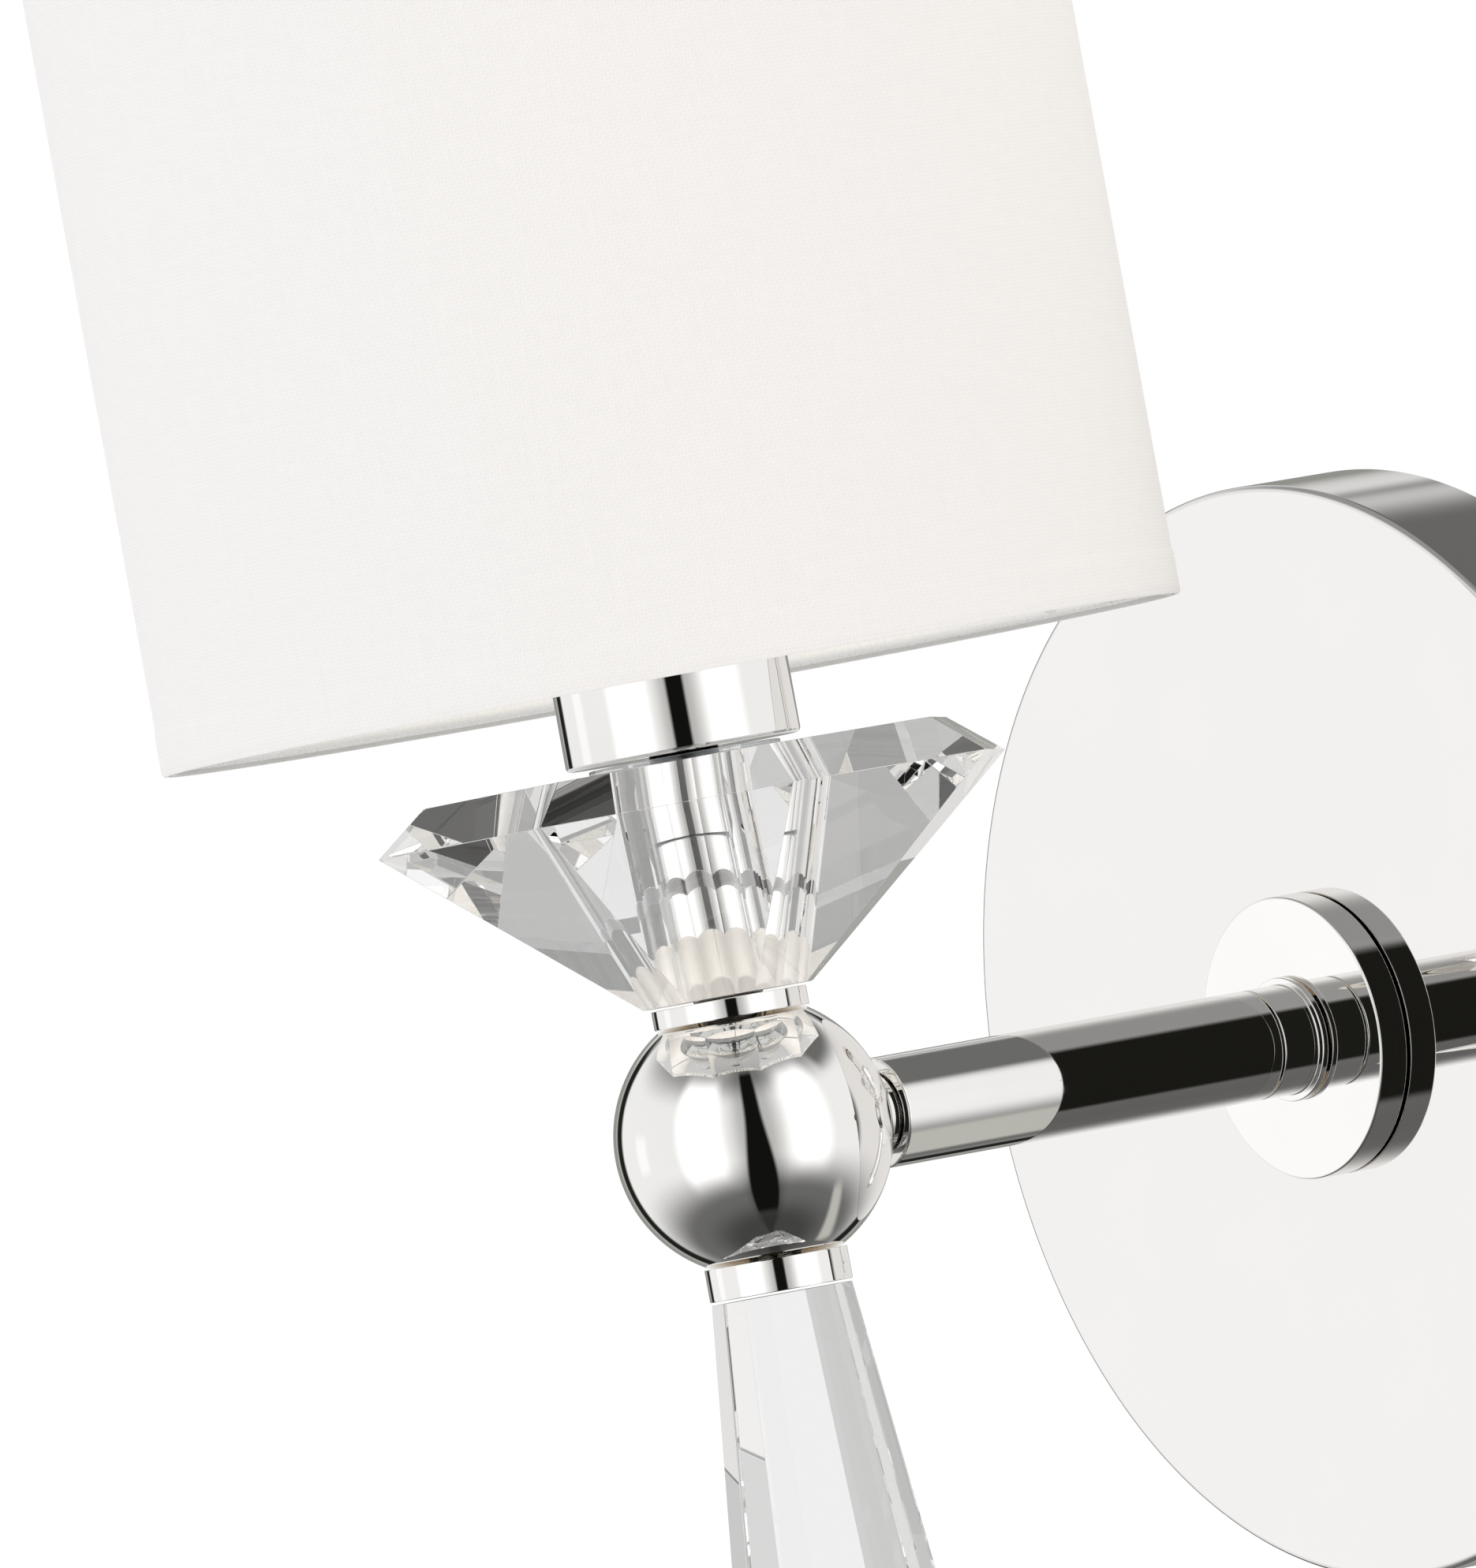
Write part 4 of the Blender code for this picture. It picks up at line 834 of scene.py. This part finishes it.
def wire(name, points, closed, radius):
    """A round wire along the points, as a mesh."""
    curve = bpy.data.curves.new(name, "CURVE")
    curve.dimensions = "3D"
    curve.bevel_depth = radius
    curve.bevel_resolution = 5
    curve.use_fill_caps = True
    spline = curve.splines.new("POLY")
    spline.points.add(len(points) - 1)
    for target, point in zip(spline.points, points):
        target.co = (*point, 1)
    spline.use_cyclic_u = closed
    carrier = placed(name, curve)
    mesh = bpy.data.meshes.new_from_object(carrier.evaluated_get(bpy.context.evaluated_depsgraph_get()))
    bpy.data.objects.remove(carrier)
    mesh.shade_smooth()
    return mesh


def hoop(name, radius, height, thickness):
    turns = [2 * math.pi * k / FINE for k in range(FINE)]
    return wire(name, [(radius * math.cos(a), -REACH + radius * math.sin(a), height) for a in turns], True,
                thickness)


def joined(name, meshes):
    """Several meshes as one."""
    builder = bmesh.new()
    for mesh in meshes:
        builder.from_mesh(mesh)
    made = built(name, builder)
    made.shade_smooth()
    made.set_sharp_from_angle(angle=math.radians(40))
    return made


def make_shade_wires():
    low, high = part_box("shade_top_ring")
    thick = (high.z - low.z) / 2
    radius = high.x - thick
    show("shade_top_hoop", hoop("shade_top_hoop", radius, (low.z + high.z) / 2, thick), ENAMEL,
         ["shade_top_ring"])
    low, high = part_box("shade_fitter")
    ring_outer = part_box("shade_ring")[1].x + 0.4 * MM
    bore = bore_radius("shade_ring", UPRIGHT) + 0.1 * MM
    ring_low = high.z - 1.2 * MM
    ring = turned("fitter_ring", [(bore, ring_low), (ring_outer, ring_low), (ring_outer, high.z),
                                  (bore, high.z)], True, UPRIGHT, FINE, 0.3 * MM)
    parts = [ring, hoop("fitter_hoop", radius, low.z + thick, thick)]
    for k in range(3):
        angle = math.radians(90) + 2 * math.pi * k / 3
        across = Vector((math.cos(angle), math.sin(angle), 0))
        start = Vector((0, -REACH, high.z - 0.6 * MM)) + across * (ring_outer - MM)
        end = Vector((0, -REACH, low.z + thick)) + across * radius
        parts.append(wire("spoke", [start, end], False, 0.9 * MM))
    show("shade_fitter_wires", joined("shade_fitter_wires", parts), ENAMEL, ["shade_fitter"])


# Wiring -------------------------------------------------------------------------------------------

def make_wiring():
    for node, material in (("hot_lead", BLACK), ("neutral_lead", WHITE), ("ground_lead", GREEN_JACKET)):
        lead = refined(node, material, smooth=70)
        rounder = lead.modifiers.new("round", "SUBSURF")
        rounder.levels = 1
        settled(lead)
    for node, side in (("wire_nut_hot", -1), ("wire_nut_neutral", 1), ("wire_nut_ground", -1)):
        at = middle(node)
        ribbed(node, Matrix.Translation((0, at.y, at.z)) @ ALONG_X[side], ORANGE, 14, 0.35 * MM)


# Studio -------------------------------------------------------------------------------------------

def make_camera():
    aim = BALL + TO_RIGHT * CAMERA_AIM[0] + Vector((0, 0, CAMERA_AIM[1]))
    back = TO_CAMERA * math.cos(CAMERA_ELEVATION) + Vector((0, 0, math.sin(CAMERA_ELEVATION)))
    data = bpy.data.cameras.new("camera")
    data.lens = SENSOR * CAMERA_DISTANCE / VIEW_HEIGHT
    data.sensor_width = SENSOR
    camera = placed("camera", data)
    camera.location = aim + back * CAMERA_DISTANCE
    look = (-back).to_track_quat("-Z", "Y")
    camera.rotation_mode = "QUATERNION"
    camera.rotation_quaternion = look @ Matrix.Rotation(CAMERA_ROLL, 3, "Z").to_quaternion()
    bpy.context.scene.camera = camera


def make_floor():
    low = min(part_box("crystal_drop")[0].z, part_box("backplate")[0].z)
    material, graph, shader = new_material("floor_paint")
    mottle = graph.noise(graph.place(), 0.004, 2.0)
    graph.feed(shader.inputs["Base Color"], graph.mix(mottle, (0.92, 0.92, 0.92), (0.94, 0.94, 0.94)))
    shader.inputs["Roughness"].default_value = 0.9
    mesh = bpy.data.meshes.new("floor")
    height = low - FLOOR_DROP
    corners = ((-1, -1), (1, -1), (1, 1), (-1, 1))
    mesh.from_pydata([(x * FLOOR_HALF, y * FLOOR_HALF, height) for x, y in corners], [], [(0, 1, 2, 3)])
    mesh.materials.append(material)
    floor = placed("floor", mesh)
    floor.visible_glossy = False
    floor.visible_transmission = False


# Directions in the studio are degrees: turn to the right of the camera, and height above the horizon
LEFT_BOX = (-65, -27)
RIGHT_BOX = (33, 65)
BOX_HEIGHTS = (-33, 52)
FRONT_WALL = (-15, 22)
SLOT_TURN = 2.5
SLOT_HEIGHTS = (-66, 54)
PLATE_MIRRORS = ((-114, -101), (-9, 9))         # what the backplate shows the camera
ARM_MIRRORS = ((84, 150), (-75, -38))           # what the arm's underside shows, along its cone
ARM_CONE = (0.54, 0.65)
RIM_MIRRORS = ((84, 179), (36, 90))             # what the backplate's rim shows
SECOND_DARK = ((-26, 16), (-50, 46))            # the dark front, in a reflection of a reflection
CROWN_DARK = ((-40, -2), (-34, -14))            # what the left crown facets look through to

WALL_LIGHT = (0.90, 0.90, 0.895)
FRONT_LIGHT = (0.50, 0.50, 0.49)
BOX_LIGHT = (1.4, 1.4, 1.4)
DARK = (0.006, 0.006, 0.005)


class Studio(Graph):
    """The surroundings as colours by direction."""

    def __init__(self, tree):
        super().__init__(tree)
        self.way = self.node("ShaderNodeTexCoord").outputs["Generated"]
        self.ahead = self.dot(self.way, TO_CAMERA)
        self.aside = self.dot(self.way, TO_RIGHT)
        rise = self.dot(self.way, (0, 0, 1))
        self.turn = self.math("DEGREES", self.math("ARCTAN2", self.aside, self.ahead))
        self.height = self.math("DEGREES", self.math("ARCSINE", rise))

    def product(self, first, *factors):
        for factor in factors:
            first = self.math("MULTIPLY", first, factor)
        return first

    def dimmed(self, colour, *factors):
        made = self.node("ShaderNodeVectorMath", operation="SCALE")
        self.feed(made.inputs[0], colour)
        self.feed(made.inputs["Scale"], self.product(*factors))
        return made.outputs[0]

    def area(self, turns, heights, soft):
        return self.product(self.band(self.turn, *turns, soft), self.band(self.height, *heights, soft))

    def slot(self):
        """The narrow dark gap behind the camera, wider towards its foot."""
        width = self.ramp(self.height, -62, 25, 16.0, 7.0)
        across = self.math("ABSOLUTE", self.math("SUBTRACT", self.turn, SLOT_TURN))
        gap = self.ramp(self.math("SUBTRACT", across, width), -2.0, 2.0, 1.0, 0.0)
        return self.product(gap, self.band(self.height, *SLOT_HEIGHTS, 4))

    def reflected(self, boxes, walls, slot):
        """What polished metal shows: first what it shows itself, then what it shows in another mirror."""
        height = self.height
        low = self.product(self.ramp(height, -48, -14, 0.16, 1.0), self.ramp(height, -75, -48, 0.4, 1.0))
        dim_walls = self.dimmed(walls, self.ramp(height, 26, 50, 1.0, 0.36), low)
        light = self.mix(boxes, dim_walls, self.dimmed(BOX_LIGHT, self.ramp(height, 34, 56, 1.0, 0.4), low))
        light = self.mix(self.area(*PLATE_MIRRORS, 3), light, (1.03, 1.03, 1.03))
        along_arm = self.band(self.dot(self.way, (0, 1, 0)), *ARM_CONE, 0.03)
        light = self.mix(self.product(along_arm, self.area(*ARM_MIRRORS, 6)), light, (0.50, 0.50, 0.46))
        light = self.mix(self.area(*RIM_MIRRORS, 6), light, (0.15, 0.15, 0.145))
        shown = self.mix(slot, light, DARK)
        ring = self.product(self.band(self.ahead, -0.89, -0.75, 0.03), self.band(height, -60, 30, 6))
        shown = self.mix(ring, shown, (0.015, 0.015, 0.013))
        far = self.mix(self.ramp(height, 12, 22), (0.30, 0.30, 0.28), (0.70, 0.70, 0.69))
        shown = self.mix(self.ramp(self.ahead, -0.86, -0.93), shown, far)
        again = self.mix(self.area(*SECOND_DARK, 4), dim_walls, (0.012, 0.012, 0.010))
        return shown, again

    def refracted(self, full, slot):
        """What the crystals show."""
        height = self.height
        high, low = self.ramp(height, 30, 70, 1.0, 0.6), self.ramp(height, -70, -20, 0.42, 1.0)
        through = self.dimmed(full, high, low)
        deep = self.mix(self.ramp(height, -7, -1), (0.56, 0.56, 0.555), (0.36, 0.36, 0.355))
        behind = self.product(self.band(self.ahead, -0.94, 0.15, 0.02), self.band(height, -40, 40, 8))
        through = self.mix(behind, through, deep)
        through = self.mix(self.ramp(self.ahead, -0.93, -0.95), through, (0.86, 0.855, 0.855))
        through = self.mix(self.area(*CROWN_DARK, 5), through, (0.42, 0.42, 0.41))
        return self.mix(slot, through, (0.10, 0.10, 0.10))


def make_studio():
    """White surroundings with two large soft boxes, a dark slot between them, and a darker room behind."""
    world = bpy.data.worlds.new("studio")
    bpy.context.scene.world = world
    world.use_nodes = True
    world.cycles.sampling_method = "NONE"
    world.node_tree.nodes.clear()
    studio = Studio(world.node_tree)
    left, right = studio.band(studio.turn, *LEFT_BOX, 7), studio.band(studio.turn, *RIGHT_BOX, 10)
    boxes = studio.product(studio.math("MAXIMUM", left, right), studio.band(studio.height, *BOX_HEIGHTS, 9))
    walls = studio.mix(studio.band(studio.turn, *FRONT_WALL, 9), WALL_LIGHT, FRONT_LIGHT)
    slot = studio.slot()
    shown, again = studio.reflected(boxes, walls, slot)
    refracted = studio.refracted(studio.mix(boxes, walls, BOX_LIGHT), slot)
    soft = studio.mix(studio.ramp(studio.aside, -1.0, 1.0), (1.25, 1.28, 1.34), (1.19, 1.17, 1.135))

    ray = studio.node("ShaderNodeLightPath")
    second = studio.math("GREATER_THAN", ray.outputs["Ray Depth"], 2.5)
    colour = studio.mix(ray.outputs["Is Glossy Ray"], soft, studio.mix(second, shown, again))
    colour = studio.mix(ray.outputs["Is Transmission Ray"], colour, refracted)
    colour = studio.mix(ray.outputs["Is Camera Ray"], colour, (1, 1, 1))
    background = studio.node("ShaderNodeBackground")
    studio.feed(background.inputs["Color"], colour)
    output = studio.node("ShaderNodeOutputWorld")
    studio.feed(output.inputs["Surface"], background.outputs[0])


def keep_out_of_mirrors():
    """The polished parts show the studio, and not the shade or the bulb."""
    for piece in bpy.data.objects:
        if piece.name.startswith(("shade_linen", "shade_liner", "shade_top_hoop", "shade_fitter", "bulb_")):
            piece.visible_glossy = False


def make_bulb_light():
    data = bpy.data.lights.new("bulb_light", "POINT")
    data.energy = 0.10
    data.color = (1.0, 0.97, 0.94)
    data.shadow_soft_size = 8 * MM
    lamp = placed("bulb_light", data)
    lamp.location = middle("bulb_glass")
    lamp.visible_camera = False
    lamp.visible_glossy = False
    lamp.visible_transmission = False


def set_rendering():
    scene = bpy.context.scene
    scene.view_settings.view_transform = "Standard"
    scene.cycles.max_bounces = 64
    scene.cycles.transmission_bounces = 64
    scene.cycles.glossy_bounces = 32
    scene.cycles.diffuse_bounces = 4
    scene.cycles.use_denoising = True


make_wall_side()
make_arm()
make_ball()
make_stack()
make_crystals()
make_lampholder()
make_bulb()
make_shade()
make_shade_wires()
make_wiring()
make_camera()
make_floor()
make_studio()
make_bulb_light()
keep_out_of_mirrors()
set_rendering()
